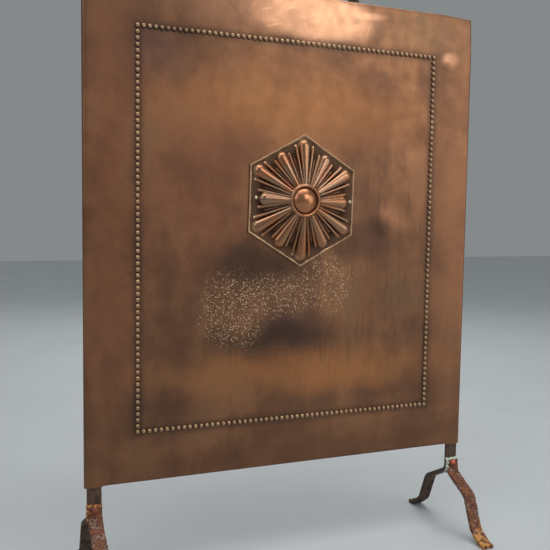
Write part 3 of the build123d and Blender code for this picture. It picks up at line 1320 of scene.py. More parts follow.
# Each knock: across, up, depth inwards and reach.
KNOCKS = (
    Knock(0.020, 0.662, -0.0012, 0.075),
    Knock(0.079, 0.679, -0.0009, 0.020),
    Knock(0.101, 0.676, -0.0006, 0.014),
    Knock(0.127, 0.421, -0.0016, 0.022),
    Knock(0.146, 0.437, 0.0018, 0.030),
    Knock(0.112, 0.405, 0.0012, 0.028),
    Knock(0.186, 0.543, -0.0013, 0.022),
    Knock(0.172, 0.520, 0.0012, 0.034),
    Knock(0.221, 0.631, -0.0014, 0.011),
    Knock(0.212, 0.620, 0.0012, 0.014),
    Knock(0.214, 0.642, 0.0009, 0.014),
    Knock(0.218, 0.598, 0.0006, 0.018),
    Knock(-0.150, 0.612, 0.0012, 0.050),
    Knock(-0.205, 0.330, -0.0007, 0.040),
    Knock(0.060, 0.235, 0.0010, 0.055),
)


@dataclass
class CopperPanel:
    """Embossed sheet, folded round the frame on four sides."""

    low: Vector
    high: Vector
    upright_inside: float
    sheet: float = 0.0008
    bead_pitch: float = 0.00695
    bead_columns: int = 56
    bead_rows: int = 66
    bead_radius: float = 0.0034
    bead_height: float = 0.0026
    bead_sides: int = 12
    bead_rings: int = 4
    border_rise: float = 0.060
    margin_cells: int = 15
    return_cells: int = 4
    level_return: float = 0.014
    fold_steps: int = 8
    waves: int = 14
    wave_seed: int = 7
    wave_across: tuple[float, float] = (-0.2, 0.2)
    wave_up: tuple[float, float] = (0.16, 0.65)
    wave_depth: tuple[float, float] = (-0.0009, 0.0011)
    wave_reach: tuple[float, float] = (0.06, 0.11)
    calm_middle: tuple[float, float] = (0.009, 0.444)
    calm_reach: float = 0.14
    corner_droop: tuple[float, float, float] = (-0.0016, 0.0, -0.0024)
    corner_reach: float = 0.05

    @property
    def fold(self) -> float:
        """Radius of the fold at the middle of the sheet's thickness."""
        return self.high.y - self.sheet / 2

    @property
    def half_width(self) -> float:
        """Middle of the screen to the axis of a side fold."""
        return self.high.x - self.high.y

    @property
    def half_border(self) -> float:
        """Middle of the screen to the side rows of beads."""
        return self.bead_columns * self.bead_pitch / 2

    @property
    def border_low(self) -> float:
        """Height of the lower row of beads."""
        return self.low.z + self.border_rise

    @property
    def border_high(self) -> float:
        """Height of the upper row of beads."""
        return self.border_low + self.bead_rows * self.bead_pitch

    def _patch(self, across: tuple[float, float, int], up: tuple[float, float, int]) -> Piece:
        """Make one flat rectangle of the sheet.

        Args:
            across: its two sides along X, and its columns.
            up: its lower and upper edge, and its rows.

        Returns:
            The patch.
        """
        select_nothing()
        bpy.ops.mesh.primitive_grid_add(
            x_subdivisions=across[2],
            y_subdivisions=up[2],
            size=1.0,
            location=((across[0] + across[1]) / 2, -self.fold, (up[0] + up[1]) / 2),
            rotation=(math.pi / 2, 0.0, 0.0),
        )
        patch = bpy.context.active_object
        patch.scale = (across[1] - across[0], up[1] - up[0], 1.0)
        return settle(patch)

    def _bead(self) -> Piece:
        """Model one square of sheet with its bead, at the lower left corner of the border.

        Returns:
            The square.
        """
        centre = Vector((-self.half_border, -self.fold, self.border_low))
        half = self.bead_pitch / 2
        cell = self._patch((centre.x - half, centre.x + half, 2), (centre.z - half, centre.z + half, 2))
        begin_edit(cell)
        pick_vertices(lambda spot: (spot - centre).length < SAME_PLACE)
        bpy.ops.mesh.delete(type="VERT")
        ball = self.bead_radius - self.sheet / 2
        sink = self.bead_radius - self.bead_height - self.sheet / 2
        start = math.asin(sink / ball)
        bpy.ops.mesh.primitive_circle_add(
            vertices=self.bead_sides,
            radius=ball * math.cos(start),
            location=centre,
            rotation=(math.pi / 2, 0.0, 0.0),
        )
        bpy.ops.mesh.select_all(action="SELECT")
        bpy.ops.mesh.bridge_edge_loops()
        pick_edges(lambda spot: (spot - centre).length < ball, open_only=True)
        before = start
        for ring in range(1, self.bead_rings + 1):
            now = start + (math.pi / 2 - start) * ring / self.bead_rings
            extrude(Vector((0.0, ball * (math.sin(before) - math.sin(now)), 0.0)))
            if ring < self.bead_rings:
                factor = math.cos(now) / math.cos(before)
                shrink((factor, 1.0, factor), centre)
            before = now
        bpy.ops.mesh.merge(type="CENTER")
        end_edit()
        return cell

    def _bead_rows(self) -> list[Piece]:
        """Line the beads up along the four sides of the border.

        Returns:
            The four rows.
        """
        first = self._bead()
        height = self.border_high - self.border_low
        width = 2 * self.half_border
        rows = []
        for lift in (0.0, height):
            row = copy_of(first, Matrix.Translation((0.0, 0.0, lift)))
            self._repeat(row, self.bead_columns + 1, Vector((self.bead_pitch, 0.0, 0.0)))
            rows.append(row)
        for shift in (0.0, width):
            column = copy_of(first, Matrix.Translation((shift, 0.0, self.bead_pitch)))
            self._repeat(column, self.bead_rows - 1, Vector((0.0, 0.0, self.bead_pitch)))
            rows.append(column)
        bpy.data.objects.remove(first)
        return rows

    @staticmethod
    def _repeat(piece: Piece, count: int, step: Vector) -> None:
        """Repeat a piece in a row.

        Args:
            piece: the piece.
            count: how many in all.
            step: from one to the next.
        """
        apply_modifier(
            piece,
            "ARRAY",
            count=count,
            use_relative_offset=False,
            use_constant_offset=True,
            constant_offset_displace=step,
        )

    def _face(self) -> Piece:
        """Make the flat face with its border of beads in one mesh.

        Returns:
            The face.
        """
        half = self.bead_pitch / 2
        inner, outer = self.half_border - half, self.half_border + half
        columns = [
            (-self.half_width, -outer, self.margin_cells),
            (-outer, -inner, 2),
            (-inner, inner, 2 * (self.bead_columns - 1)),
            (inner, outer, 2),
            (outer, self.half_width, self.margin_cells),
        ]
        rows = [
            (self.low.z + self.high.y, self.border_low - half, self.margin_cells),
            (self.border_low - half, self.border_low + half, 2),
            (self.border_low + half, self.border_high - half, 2 * (self.bead_rows - 1)),
            (self.border_high - half, self.border_high + half, 2),
            (self.border_high + half, self.high.z - self.high.y, self.margin_cells),
        ]
        patches = []
        for i, across in enumerate(columns):
            for j, up in enumerate(rows):
                on_border = (i in (1, 3) and 1 <= j <= 3) or (j in (1, 3) and 1 <= i <= 3)
                if not on_border:
                    patches.append(self._patch(across, up))
        face = join(patches + self._bead_rows())
        close_seams(face)
        return face

    def _fold_edges(self) -> None:
        """Fold the four edges of the open face round the frame."""
        bottom = self.low.z + self.high.y
        top = self.high.z - self.high.y
        step = (self.half_width - self.half_border - self.bead_pitch / 2) / self.margin_cells
        clear = self.upright_inside
        pick_edges(
            lambda spot: abs(spot.z - bottom) < SAME_PLACE and abs(spot.x) > clear - step,
            open_only=True,
        )
        extrude(Vector((0.0, 0.0, self.low.z - bottom)))
        for side in (-1.0, 1.0):
            edge = side * self.half_width
            pick_edges(lambda spot: abs(spot.x - edge) < SAME_PLACE, open_only=True)
            turn_round(self.fold_steps, side * math.pi, Vector((edge, 0.0, 0.0)), Z_AXIS)
            for _ in range(self.return_cells):
                extrude(Vector((-side * step, 0.0, 0.0)))
        inside = self.half_width - self.return_cells * step
        for sign, height, reach in ((-1.0, top, self.half_width), (1.0, bottom, clear)):
            pick_edges(
                lambda spot: abs(spot.z - height) < SAME_PLACE
                and abs(spot.x) < reach + SAME_PLACE
                and abs(spot.y + self.fold) < SAME_PLACE,
                open_only=True,
            )
            turn_round(self.fold_steps, sign * math.pi, Vector((0.0, 0.0, height)), X_AXIS)
            limit = min(reach, inside)
            pick_edges(
                lambda spot: abs(spot.z - height) < SAME_PLACE
                and abs(spot.x) < limit + SAME_PLACE
                and abs(spot.y - self.fold) < SAME_PLACE,
                open_only=True,
            )
            extrude(Vector((0.0, 0.0, sign * self.level_return)))

    def _round_corners(self) -> None:
        """Close the two upper corners, where side and top folds meet."""
        top = self.high.z - self.high.y
        for side in (-1.0, 1.0):
            edge = side * self.half_width
            pick_edges(
                lambda spot: abs(spot.z - top) < SAME_PLACE and side * (spot.x - edge) > -SAME_PLACE,
                open_only=True,
            )
            turn_round(self.fold_steps // 2, -side * math.pi / 2, Vector((edge, 0.0, top)), Y_AXIS)

    def _knocks(self) -> None:
        """Push in the waves, dents and the tired corner of the used sheet.

        Waves over the bars only go outwards, because the bars lie against the sheet.
        """
        face = -self.fold
        calm = Vector((self.calm_middle[0], face, self.calm_middle[1]))
        chance = random.Random(self.wave_seed)
        for _ in range(self.waves):
            spot = Vector((chance.uniform(*self.wave_across), face, chance.uniform(*self.wave_up)))
            depth = chance.uniform(*self.wave_depth)
            reach = chance.uniform(*self.wave_reach)
            beside = abs(spot.x) + reach > self.upright_inside
            above = spot.z + reach > self.border_high
            if (spot - calm).length < self.calm_reach:
                depth = abs(depth) / 3
            elif beside or above:
                depth = -abs(depth) / 2
            push(spot, Vector((0.0, depth, 0.0)), reach)
        for knock in KNOCKS:
            spot = Vector((knock.across, face, knock.up))
            push(spot, Vector((0.0, knock.depth, 0.0)), knock.reach)
        corner = Vector((self.high.x, 0.0, self.high.z))
        push(corner, Vector(self.corner_droop), self.corner_reach)

    def build(self, finish: Finish) -> Piece:
        """Build the sheet.

        Args:
            finish: its finish.

        Returns:
            The piece.
        """
        panel = self._face()
        begin_edit(panel)
        self._fold_edges()
        self._round_corners()
        end_edit()
        close_seams(panel)
        begin_edit(panel)
        self._knocks()
        end_edit()
        apply_modifier(panel, "SOLIDIFY", thickness=self.sheet, offset=0.0)
        behind = [float(face.normal.y > 0.01 and face.center.y < 0.0) for face in panel.data.polygons]
        panel.data.attributes.new(INSIDE, "FLOAT", "FACE").data.foreach_set("value", behind)
        return hand_over(panel, "embossed_panel", finish, "copper_sheet", "copper_panel")


@dataclass
class Rosette:
    """Pressed hexagonal plaque and the two pins that hold it."""

    low: Vector
    high: Vector
    turn: float = -1.3
    sides: int = 6
    corner: float = 0.0813
    sheet: float = 0.0008
    rim_width: float = 0.0022
    rim_height: float = 0.0012
    rim_bead: float = 0.00115
    rim_beads: int = 34
    boss: float = 0.058
    petals: int = 12
    root: float = 0.020
    petal_root: float = 0.0021
    petal_tip: float = 0.0076
    petal_flatness: float = 0.70
    long_petal: float = 0.0745
    short_petal: float = 0.066
    side_petals: tuple[float, float] = (0.0585, 0.0624)
    ridge_root: float = 0.0009
    ridge_tip: float = 0.0019
    long_ridge: float = 0.072
    short_ridge: float = 0.057
    line_root: float = 0.0005
    line_tip: float = 0.0009
    long_line: float = 0.056
    short_line: float = 0.050
    ring: float = 0.0184
    ring_section: float = 0.0019
    ring_lift: float = 0.0026
    dome: float = 0.0156
    dome_rise: float = 0.006
    grid: float = 0.0005
    kept_share: float = 0.42
    pin_reaches: tuple[float, float] = (-0.0612, 0.0656)
    pin_rise: float = 0.0012
    pin_head: float = 0.0024
    pin_head_height: float = 0.0021
    pin_tail_height: float = 0.0015

    @property
    def boss_rise(self) -> float:
        """How far the ground rises from its flat edge to the ring."""
        return self.high.y - self.low.y - self.sheet - self.dome_rise

    @property
    def middle(self) -> Vector:
        """Middle of the plaque's back on the sheet."""
        return Vector(((self.low.x + self.high.x) / 2, self.high.y, (self.low.z + self.high.z) / 2))

    @property
    def seat(self) -> Matrix:
        """From the plaque's own frame, front towards +Z, to its seat on the sheet."""
        upright = Matrix.Rotation(math.pi / 2, 4, "X")
        return Matrix.Translation(self.middle) @ upright @ Matrix.Rotation(math.radians(self.turn), 4, "Z")

    def _plate(self) -> Piece:
        """Model the hexagonal ground with its raised rim.

        Returns:
            The ground.
        """
        select_nothing()
        bpy.ops.mesh.primitive_circle_add(vertices=self.sides, radius=self.corner, fill_type="NGON")
        plate = bpy.context.active_object
        begin_edit(plate)
        bpy.ops.mesh.select_all(action="SELECT")
        extrude(Z_AXIS * self.rim_height)
        bpy.ops.mesh.inset(thickness=self.rim_width, use_even_offset=True)
        extrude(Z_AXIS * (self.sheet - self.rim_height))
        factor = 1.0 - self.rim_height / self.corner
        shrink((factor, factor, 1.0), Vector((0.0, 0.0, self.sheet)))
        bpy.ops.mesh.select_all(action="SELECT")
        bpy.ops.mesh.normals_make_consistent(inside=False)
        end_edit()
        return plate

    def _lift(self, distance: float) -> float:
        """Height of the ground above the seat, at a distance from the middle."""
        share = (self.boss - distance) / (self.boss - self.root)
        return self.sheet + self.boss_rise * min(max(share, 0.0), 1.0)

    def _ray(self, root: float, tip: float, reach: float, flatness: float) -> Piece:
        """Model one ray along +X: a tapered half-round on the ground, with a full, rounded end.

        Args:
            root: half width at the ring.
            tip: half width at the outer end.
            reach: how far out it goes.
            flatness: height as a share of half width.

        Returns:
            The ray.
        """
        run = reach - tip - self.root
        drop = self._lift(self.root) - self._lift(reach - tip)
        length = math.hypot(run, drop)
        select_nothing()
        bpy.ops.mesh.primitive_cone_add(
            vertices=24,
            radius1=root,
            radius2=tip,
            depth=length,
            location=(length / 2, 0.0, 0.0),
            rotation=(0.0, math.pi / 2, 0.0),
        )
        body = settle(bpy.context.active_object)
        select_nothing()
        bpy.ops.mesh.primitive_uv_sphere_add(
            segments=24, ring_count=14, radius=tip, location=(length, 0.0, 0.0)
        )
        ray = join([body, settle(bpy.context.active_object)])
        ray.scale = (1.0, 1.0, flatness)
        settle(ray)
        slope = Matrix.Rotation(math.atan2(drop, run), 4, "Y")
        return place(ray, Matrix.Translation((self.root, 0.0, self._lift(self.root))) @ slope)

    def _reach(self, angle: float, far: float, near: float) -> float:
        """How far a ray goes at an angle in degrees: far to the corners, less to the flats."""
        share = (1.0 + math.cos(math.radians(self.sides * angle - 180.0))) / 2.0
        return near + (far - near) * share

    def _rays(self) -> list[Piece]:
        """Model the petals, the two ridges between them and the fine line between those.

        Returns:
            The rays.
        """
        rays = []
        step = 360.0 / self.petals
        ridge = (self.ridge_root, self.ridge_tip, self.long_ridge, self.short_ridge, 1.0)
        kinds = (
            (0.0, self.petal_root, self.petal_tip, self.long_petal, self.short_petal, self.petal_flatness),
            (1 / 3, *ridge),
            (2 / 3, *ridge),
            (1 / 2, self.line_root, self.line_tip, self.long_line, self.short_line, 1.0),
        )
        beside_pins = {180.0: self.side_petals[0], 0.0: self.side_petals[1]}
        for i in range(self.petals):
            for share, root, tip, far, near, flatness in kinds:
                angle = (i + share) * step
                reach = beside_pins.get(angle, self._reach(angle, far, near))
                ray = self._ray(root, tip, reach, flatness)
                rays.append(place(ray, Matrix.Rotation(math.radians(angle), 4, "Z")))
        return rays

    def _boss(self) -> list[Piece]:
        """Model the raised ground, the ring and the dome in the middle.

        Returns:
            The three.
        """
        select_nothing()
        bpy.ops.mesh.primitive_cone_add(
            vertices=96,
            radius1=self.boss,
            radius2=self.root,
            depth=self.boss_rise,
            location=(0.0, 0.0, self.sheet + self.boss_rise / 2),
        )
        ground = settle(bpy.context.active_object)
        plateau = self.sheet + self.boss_rise
        select_nothing()
        bpy.ops.mesh.primitive_torus_add(
            major_segments=72,
            minor_segments=16,
            major_radius=self.ring,
            minor_radius=self.ring_section,
            location=(0.0, 0.0, plateau + self.ring_lift - self.ring_section),
        )
        ring = settle(bpy.context.active_object)
        ball = (self.dome ** 2 + self.dome_rise ** 2) / (2 * self.dome_rise)
        select_nothing()
        bpy.ops.mesh.primitive_uv_sphere_add(
            segments=64, ring_count=64, radius=ball, location=(0.0, 0.0, plateau + self.dome_rise - ball)
        )
        dome = settle(bpy.context.active_object)
        begin_edit(dome)
        cut_below(plateau - self.sheet)
        end_edit()
        return [ground, ring, dome]

    def _rim(self) -> list[Piece]:
        """Set the small beads along the sides of the rim.

        Returns:
            The beads.
        """
        inward = self.rim_width / 2
        side_angle = 360.0 / self.sides
        corner = self.corner - inward / math.cos(math.radians(side_angle / 2))
        bead = domed_head(self.rim_bead, self.rim_bead, sides=10, rings=6)
        beads = []
        for side in range(self.sides):
            ends = [
                Vector((-math.sin(angle), math.cos(angle), 0.0)) * corner
                for angle in (math.radians(side_angle * side), math.radians(side_angle * (side + 1)))
            ]
            for i in range(self.rim_beads):
                spot = ends[0].lerp(ends[1], i / self.rim_beads)
                spot.z = self.rim_height
                beads.append(copy_of(bead, Matrix.Translation(spot)))
        bpy.data.objects.remove(bead)
        return beads

    def build(self, finish: Finish) -> Piece:
        """Build the plaque.

        Args:
            finish: its finish.

        Returns:
            The piece.
        """
        plaque = join([self._plate(), *self._rays(), *self._boss()])
        apply_modifier(plaque, "REMESH", mode="VOXEL", voxel_size=self.grid, use_smooth_shade=True)
        apply_modifier(plaque, "SMOOTH", factor=0.5, iterations=2)
        begin_edit(plaque)
        cut_below(self.sheet / 8)
        end_edit()
        apply_modifier(plaque, "DECIMATE", ratio=self.kept_share)
        plaque = join([plaque, *self._rim()])
        place(plaque, self.seat)
        return hand_over(plaque, "pressed_rosette", finish, "copper_rosette", "rosette_plaque")

    def build_pins(self, finish: Finish) -> Piece:
        """Build the two pins with their hammered heads and spread tails.

        Args:
            finish: their finish.

        Returns:
            The piece.
        """
        pins = []
        for reach in self.pin_reaches:
            head = domed_head(self.pin_head, self.pin_head_height, sides=20)
            place(head, Matrix.Translation((reach, self.pin_rise, self.sheet)))
            tail = domed_head(self.pin_head, self.pin_tail_height, sides=16)
            flip = Matrix.Rotation(math.pi, 4, "X")
            place(tail, Matrix.Translation((reach, self.pin_rise, -self.sheet)) @ flip)
            pins += [head, tail]
        joined = place(join(pins), self.seat)
        return hand_over(joined, "rosette_pin_heads", finish, "pin_metal", "rosette_pins")


def domed_head(radius: float, height: float, sides: int, rings: int = 12) -> Piece:
    """Model a domed head standing on z = 0.

    Args:
        radius: its half width.
        height: its height.
        sides: how many segments round it.
        rings: how many rings the whole ball has.

    Returns:
        The head.
    """
    select_nothing()
    bpy.ops.mesh.primitive_uv_sphere_add(segments=sides, ring_count=rings, radius=1.0)
    head = bpy.context.active_object
    head.scale = (radius, radius, height)
    settle(head)
    begin_edit(head)
    cut_below(0.0)
    end_edit()
    return head


@dataclass
class BarMaker:
    """Draws a flat bar through straight runs and bends in a plane of constant X."""

    across: float
    width: float
    thickness: float
    step: float = 0.005
    bend_step: float = 12.0
    least_turns: int = 3

    def draw(self, route: list[tuple[float, float]], radii: list[float]) -> Piece:
        """Draw the bar.

        Args:
            route: the corners of its centre line as (y, z), from its upper end.
            radii: bend radius at each corner between the ends.

        Returns:
            The bar.
        """
        points = [Vector((self.across, y, z)) for y, z in route]
        heading = (points[1] - points[0]).normalized()
        select_nothing()
        bpy.ops.mesh.primitive_plane_add(size=1.0, location=points[0])
        bar = bpy.context.active_object
        bar.scale = (self.width, self.thickness, 1.0)
        settle(bar)
        begin_edit(bar)
        bpy.ops.mesh.select_all(action="SELECT")
        here = points[0]
        for i in range(1, len(points)):
            ahead = (points[i + 1] - points[i]).normalized() if i + 1 < len(points) else heading
            turn = heading.angle(ahead)
            tangent = radii[i - 1] * math.tan(turn / 2) if i + 1 < len(points) else 0.0
            run = (points[i] - here).length - tangent
            pieces = max(1, round(run / self.step))
            for _ in range(pieces):
                extrude(heading * (run / pieces))
            here = here + heading * run
            if turn > 0.001:
                inward = (ahead - heading * heading.dot(ahead)).normalized()
                centre = here + inward * radii[i - 1]
                axis = heading.cross(inward)
                steps = max(self.least_turns, round(math.degrees(turn) / self.bend_step))
                turn_round(steps, turn, centre, axis)
                here = points[i] + ahead * tangent
            heading = ahead
        end_edit()
        close_seams(bar)
        return bar


@dataclass
class Legs:
    """The two uprights that bend into the rear legs, and the two front legs."""

    low: Vector
    high: Vector
    front_top: float
    bar_width: float = 0.0164
    bar_thickness: float = 0.005
    foot_reach: float = 0.0876
    toe: float = 0.009
    rear_shoulder: float = 0.0795
    front_shoulder: float = 0.0775
    knee: tuple[float, float] = (0.0445, 0.0557)
    ankle: tuple[float, float] = (0.0605, 0.0164)
    radii: tuple[float, ...] = (0.0105, 0.012, 0.012, 0.014)
    edge: float = 0.0009
    floor_reach: float = 0.0003
    forged_grain: float = 0.012
    forged_depth: float = 0.0005
    rusted_grain: float = 0.0065
    rusted_depth: float = 0.0017
    rivet_head: float = 0.0022
    lumps: int = 26
    lumps_on_top: float = 0.55
    lump_radius: tuple[float, float] = (0.0011, 0.0023)
    lump_seed: int = 21
    crust_drop: float = 0.018
    crust_grid: float = 0.0004
    crust_grain: float = 0.0018
    crust_depth: float = 0.0009

    def _across(self, side: float) -> float:
        """Middle of the bar on one side."""
        return side * (abs(self.high.x) + abs(self.low.x)) / 2

    def _route(self, start_y: float, top: float, shoulder: float, way: float) -> list[tuple[float, float]]:
        """Corners of a leg's centre line from its top to its toe.

        Args:
            start_y: depth of its straight upper part.
            top: height of its upper end.
            shoulder: height where it leaves the upright's line.
            way: 1 for a rear leg, -1 for a front leg.

        Returns:
            The corners as (y, z).
        """
        return [
            (start_y, top),
            (start_y, shoulder),
            (way * self.knee[0], self.knee[1]),
            (way * self.ankle[0], self.ankle[1]),
            (way * (self.foot_reach - self.toe), self.bar_thickness / 2),
            (way * self.foot_reach, self.bar_thickness / 2),
        ]

    def _forge(self, bar: Piece, grain: float, depth: float, shift: float) -> None:
        """Round the bar's edges, roughen it and set its foot flat on the floor.

        Args:
            bar: the bar.
            grain: size of the unevenness.
            depth: height of the unevenness.
            shift: moves the pattern along.
        """
        apply_modifier(
            bar, "BEVEL", width=self.edge, segments=3, limit_method="ANGLE", angle_limit=math.radians(50.0)
        )
        begin_edit(bar)
        pick_faces(lambda spot, normal: True)
        bpy.ops.mesh.subdivide(number_cuts=1)
        end_edit()
        roughen(bar, grain, depth, shift)
        begin_edit(bar)
        if pick_vertices(lambda spot: spot.z < self.floor_reach):
            shrink((1.0, 1.0, 0.0), Vector((0.0, 0.0, 0.0)))
        end_edit()

    def build_upright(self, side: float, name: str, finish: Finish, node: str) -> Piece:
        """Build one upright with its rear leg.

        Args:
            side: -1 for the left, 1 for the right.
            name: the piece's name.
            finish: its finish.
            node: the CAD node that it stands for.

        Returns:
            The piece.
        """
        maker = BarMaker(self._across(side), self.bar_width, self.bar_thickness)
        bar = maker.draw(self._route(0.0, self.high.z, self.rear_shoulder, 1.0), list(self.radii))
        self._forge(bar, self.forged_grain, self.forged_depth, 0.3 * side)
        return hand_over(bar, name, finish, "dark_iron", node)

    def build_front(self, side: float, name: str, finish: Finish, node: str) -> Piece:
        """Build one front leg.

        Args:
            side: -1 for the left, 1 for the right.
            name: the piece's name.
            finish: its finish.
            node: the CAD node that it stands for.

        Returns:
            The piece.
        """
        maker = BarMaker(self._across(side), self.bar_width, self.bar_thickness, step=0.003, bend_step=8.0)
        route = self._route(-self.bar_thickness, self.front_top, self.front_shoulder, -1.0)
        bar = maker.draw(route, list(self.radii))
        self._forge(bar, self.rusted_grain, self.rusted_depth, 0.5 * side)
        return hand_over(bar, name, finish, "rusted_iron", node)

    def build_rivets(self, low: Vector, high: Vector, finish: Finish) -> Piece:
        """Build the heads of the two rivets through front legs and uprights.

        Args:
            low: lowest corner of the CAD rivets.
            high: highest corner of the CAD rivets.
            finish: their finish.

        Returns:
            The piece.
        """
        radius = (high.z - low.z) / 2
        middle = (high.z + low.z) / 2
        front = -self.bar_thickness * 1.5
        back = self.bar_thickness / 2
        heads = []
        for side in (-1.0, 1.0):
            for depth, turn in ((front, math.pi / 2), (back, -math.pi / 2)):
                head = domed_head(radius, self.rivet_head, sides=24)
                spot = Matrix.Translation((self._across(side), depth, middle))
                heads.append(place(head, spot @ Matrix.Rotation(turn, 4, "X")))
        return hand_over(join(heads), "leg_rivet_heads", finish, "copper_rivet", "leg_rivets")

    def build_crust(self, side: float, name: str, finish: Finish, node: str) -> Piece:
        """Build the lumpy braze and crust along the top and one edge of a front leg.

        Args:
            side: -1 for the left, 1 for the right.
            name: the piece's name.
            finish: its finish.
            node: the CAD node that it stands for.

        Returns:
            The piece.
        """
        chance = random.Random(self.lump_seed + int(side))
        half = self.bar_width / 2
        front = -self.bar_thickness / 2
        lumps = []
        for i in range(self.lumps):
            share = i / (self.lumps - 1)
            if share < self.lumps_on_top:
                across = -half + 2 * half * share / self.lumps_on_top
                spot = Vector((across, front - chance.uniform(0.001, 0.0038), self.front_top))
            else:
                drop = (share - self.lumps_on_top) / (1.0 - self.lumps_on_top) * self.crust_drop
                spot = Vector((-half * 0.98, front - chance.uniform(0.0, 0.0045), self.front_top - drop))
            spot += Vector((self._across(side), 0.0, chance.uniform(-0.0008, 0.0012)))
            select_nothing()
            bpy.ops.mesh.primitive_ico_sphere_add(
                subdivisions=2, radius=chance.uniform(*self.lump_radius), location=spot
            )
            lumps.append(settle(bpy.context.active_object))
        crust = join(lumps)
        apply_modifier(crust, "REMESH", mode="VOXEL", voxel_size=self.crust_grid, use_smooth_shade=True)
        roughen(crust, self.crust_grain, self.crust_depth, 0.7 * side)
        return hand_over(crust, name, finish, "braze", node)


@dataclass
class CarryingHandle:
    """Round iron bail with flat tangs behind the top rail, and its rivets."""

    low: Vector
    high: Vector
    panel_top: float
    round_radius: float = 0.0045
    corner_radius: float = 0.028
    tang_width: float = 0.016
    tang_thickness: float = 0.004
    tang_stub: float = 0.001
    taper: float = 0.014
    tang_steps: int = 6
    taper_steps: int = 5
    bend_steps: int = 10
    edge: float = 0.0007
    forged_grain: float = 0.010
    forged_depth: float = 0.0005
    rivet_sides: int = 28

    def build(self, finish: Finish) -> Piece:
        """Build the bail with both tangs in one piece.

        Args:
            finish: its finish.

        Returns:
            The piece.
        """
        depth = (self.low.y + self.high.y) / 2
        half_span = self.high.x - self.tang_width / 2
        neck = self.panel_top + self.tang_stub
        bar_start = neck + self.taper
        bar_top = self.high.z - self.round_radius
        select_nothing()
        bpy.ops.mesh.primitive_grid_add(
            x_subdivisions=6, y_subdivisions=2, size=1.0, location=(-half_span, depth, self.low.z)
        )
        bail = bpy.context.active_object
        bail.scale = (self.tang_width, self.tang_thickness, 1.0)
        settle(bail)
        begin_edit(bail)
        bpy.ops.mesh.select_all(action="SELECT")
        bpy.ops.mesh.dissolve_faces()
        bpy.ops.mesh.select_all(action="SELECT")
        for _ in range(self.tang_steps):
            extrude(Z_AXIS * ((neck - self.low.z) / self.tang_steps))
        spot = Vector((-half_span, depth, neck))
        for i in range(1, self.taper_steps + 1):
            extrude(Z_AXIS * (self.taper / self.taper_steps))
            spot.z = neck + self.taper * i / self.taper_steps
            bpy.ops.transform.tosphere(value=0.18 if i < self.taper_steps else 1.0)
            if i < self.taper_steps:
                shrink((0.9, 1.12, 1.0), spot)
        self._make_round(spot)
        extrude(Z_AXIS * (bar_top - self.corner_radius - bar_start))
        centre = Vector((-half_span + self.corner_radius, depth, bar_top - self.corner_radius))
        turn_round(self.bend_steps, math.pi / 2, centre, Y_AXIS)
        extrude(X_AXIS * (half_span - self.corner_radius))
        pick_faces(lambda spot, normal: spot.x > -SAME_PLACE and normal.x > 0.9)
        bpy.ops.mesh.delete(type="FACE")
        end_edit()
        apply_modifier(bail, "MIRROR", use_axis=(True, False, False), merge_threshold=SAME_PLACE)
        close_seams(bail)
        apply_modifier(
            bail, "BEVEL", width=self.edge, segments=2, limit_method="ANGLE", angle_limit=math.radians(60.0)
        )
        apply_modifier(bail, "SUBSURF", levels=1, render_levels=1)
        roughen(bail, self.forged_grain, self.forged_depth)
        return hand_over(bail, "carrying_bail", finish, "dark_iron", "carrying_handle")

    def _make_round(self, centre: Vector) -> None:
        """Bring the selected ring to the round bar's size.

        Args:
            centre: the ring's middle.
        """
        shape = bmesh.from_edit_mesh(bpy.context.edit_object.data)
        reach = max((vertex.co - centre).length for vertex in shape.verts if vertex.select)
        factor = self.round_radius / reach
        shrink((factor, factor, 1.0), centre)

    def build_rivets(self, low: Vector, high: Vector, finish: Finish) -> Piece:
        """Build the two domed heads behind the tangs.

        Args:
            low: lowest corner of the CAD rivets.
            high: highest corner of the CAD rivets.
            finish: their finish.

        Returns:
            The piece.
        """
        radius = (high.z - low.z) / 2
        seat = (self.low.y + self.high.y) / 2 + self.tang_thickness / 2
        heads = []
        for side in (-1.0, 1.0):
            head = domed_head(radius, high.y - seat, self.rivet_sides)
            spot = Matrix.Translation((side * (high.x - radius), seat, (low.z + high.z) / 2))
            heads.append(place(head, spot @ Matrix.Rotation(-math.pi / 2, 4, "X")))
        return hand_over(join(heads), "handle_rivet_heads", finish, "dark_iron", "handle_rivets")


# ------------------------------------------------------------------ studio


@dataclass(frozen=True)
class SoftPanel:
    """One soft light panel: where it hangs, how wide and high it is, its watts and its tint."""

    name: str
    spot: tuple[float, float, float]
    size: tuple[float, float]
    power: float
    tint: tuple[float, float, float]


SOFT_PANELS = (
    SoftPanel("ceiling", (0.1, -0.5, 2.6), (2.4, 1.6), 33.0, (1.0, 0.98, 0.95)),
    SoftPanel("window", (0.85, -1.75, 1.32), (0.9, 0.9), 7.2, (1.0, 0.97, 0.93)),
    SoftPanel("right_fill", (1.75, -1.45, 0.75), (1.2, 1.3), 7.0, (1.0, 0.97, 0.93)),
    SoftPanel("left_fill", (-1.6, -1.2, 1.5), (1.0, 1.4), 7.5, (0.93, 0.97, 1.0)),
    SoftPanel("back_fill", (0.6, 1.8, 1.6), (1.6, 1.2), 14.0, (1.0, 0.98, 0.95)),
)


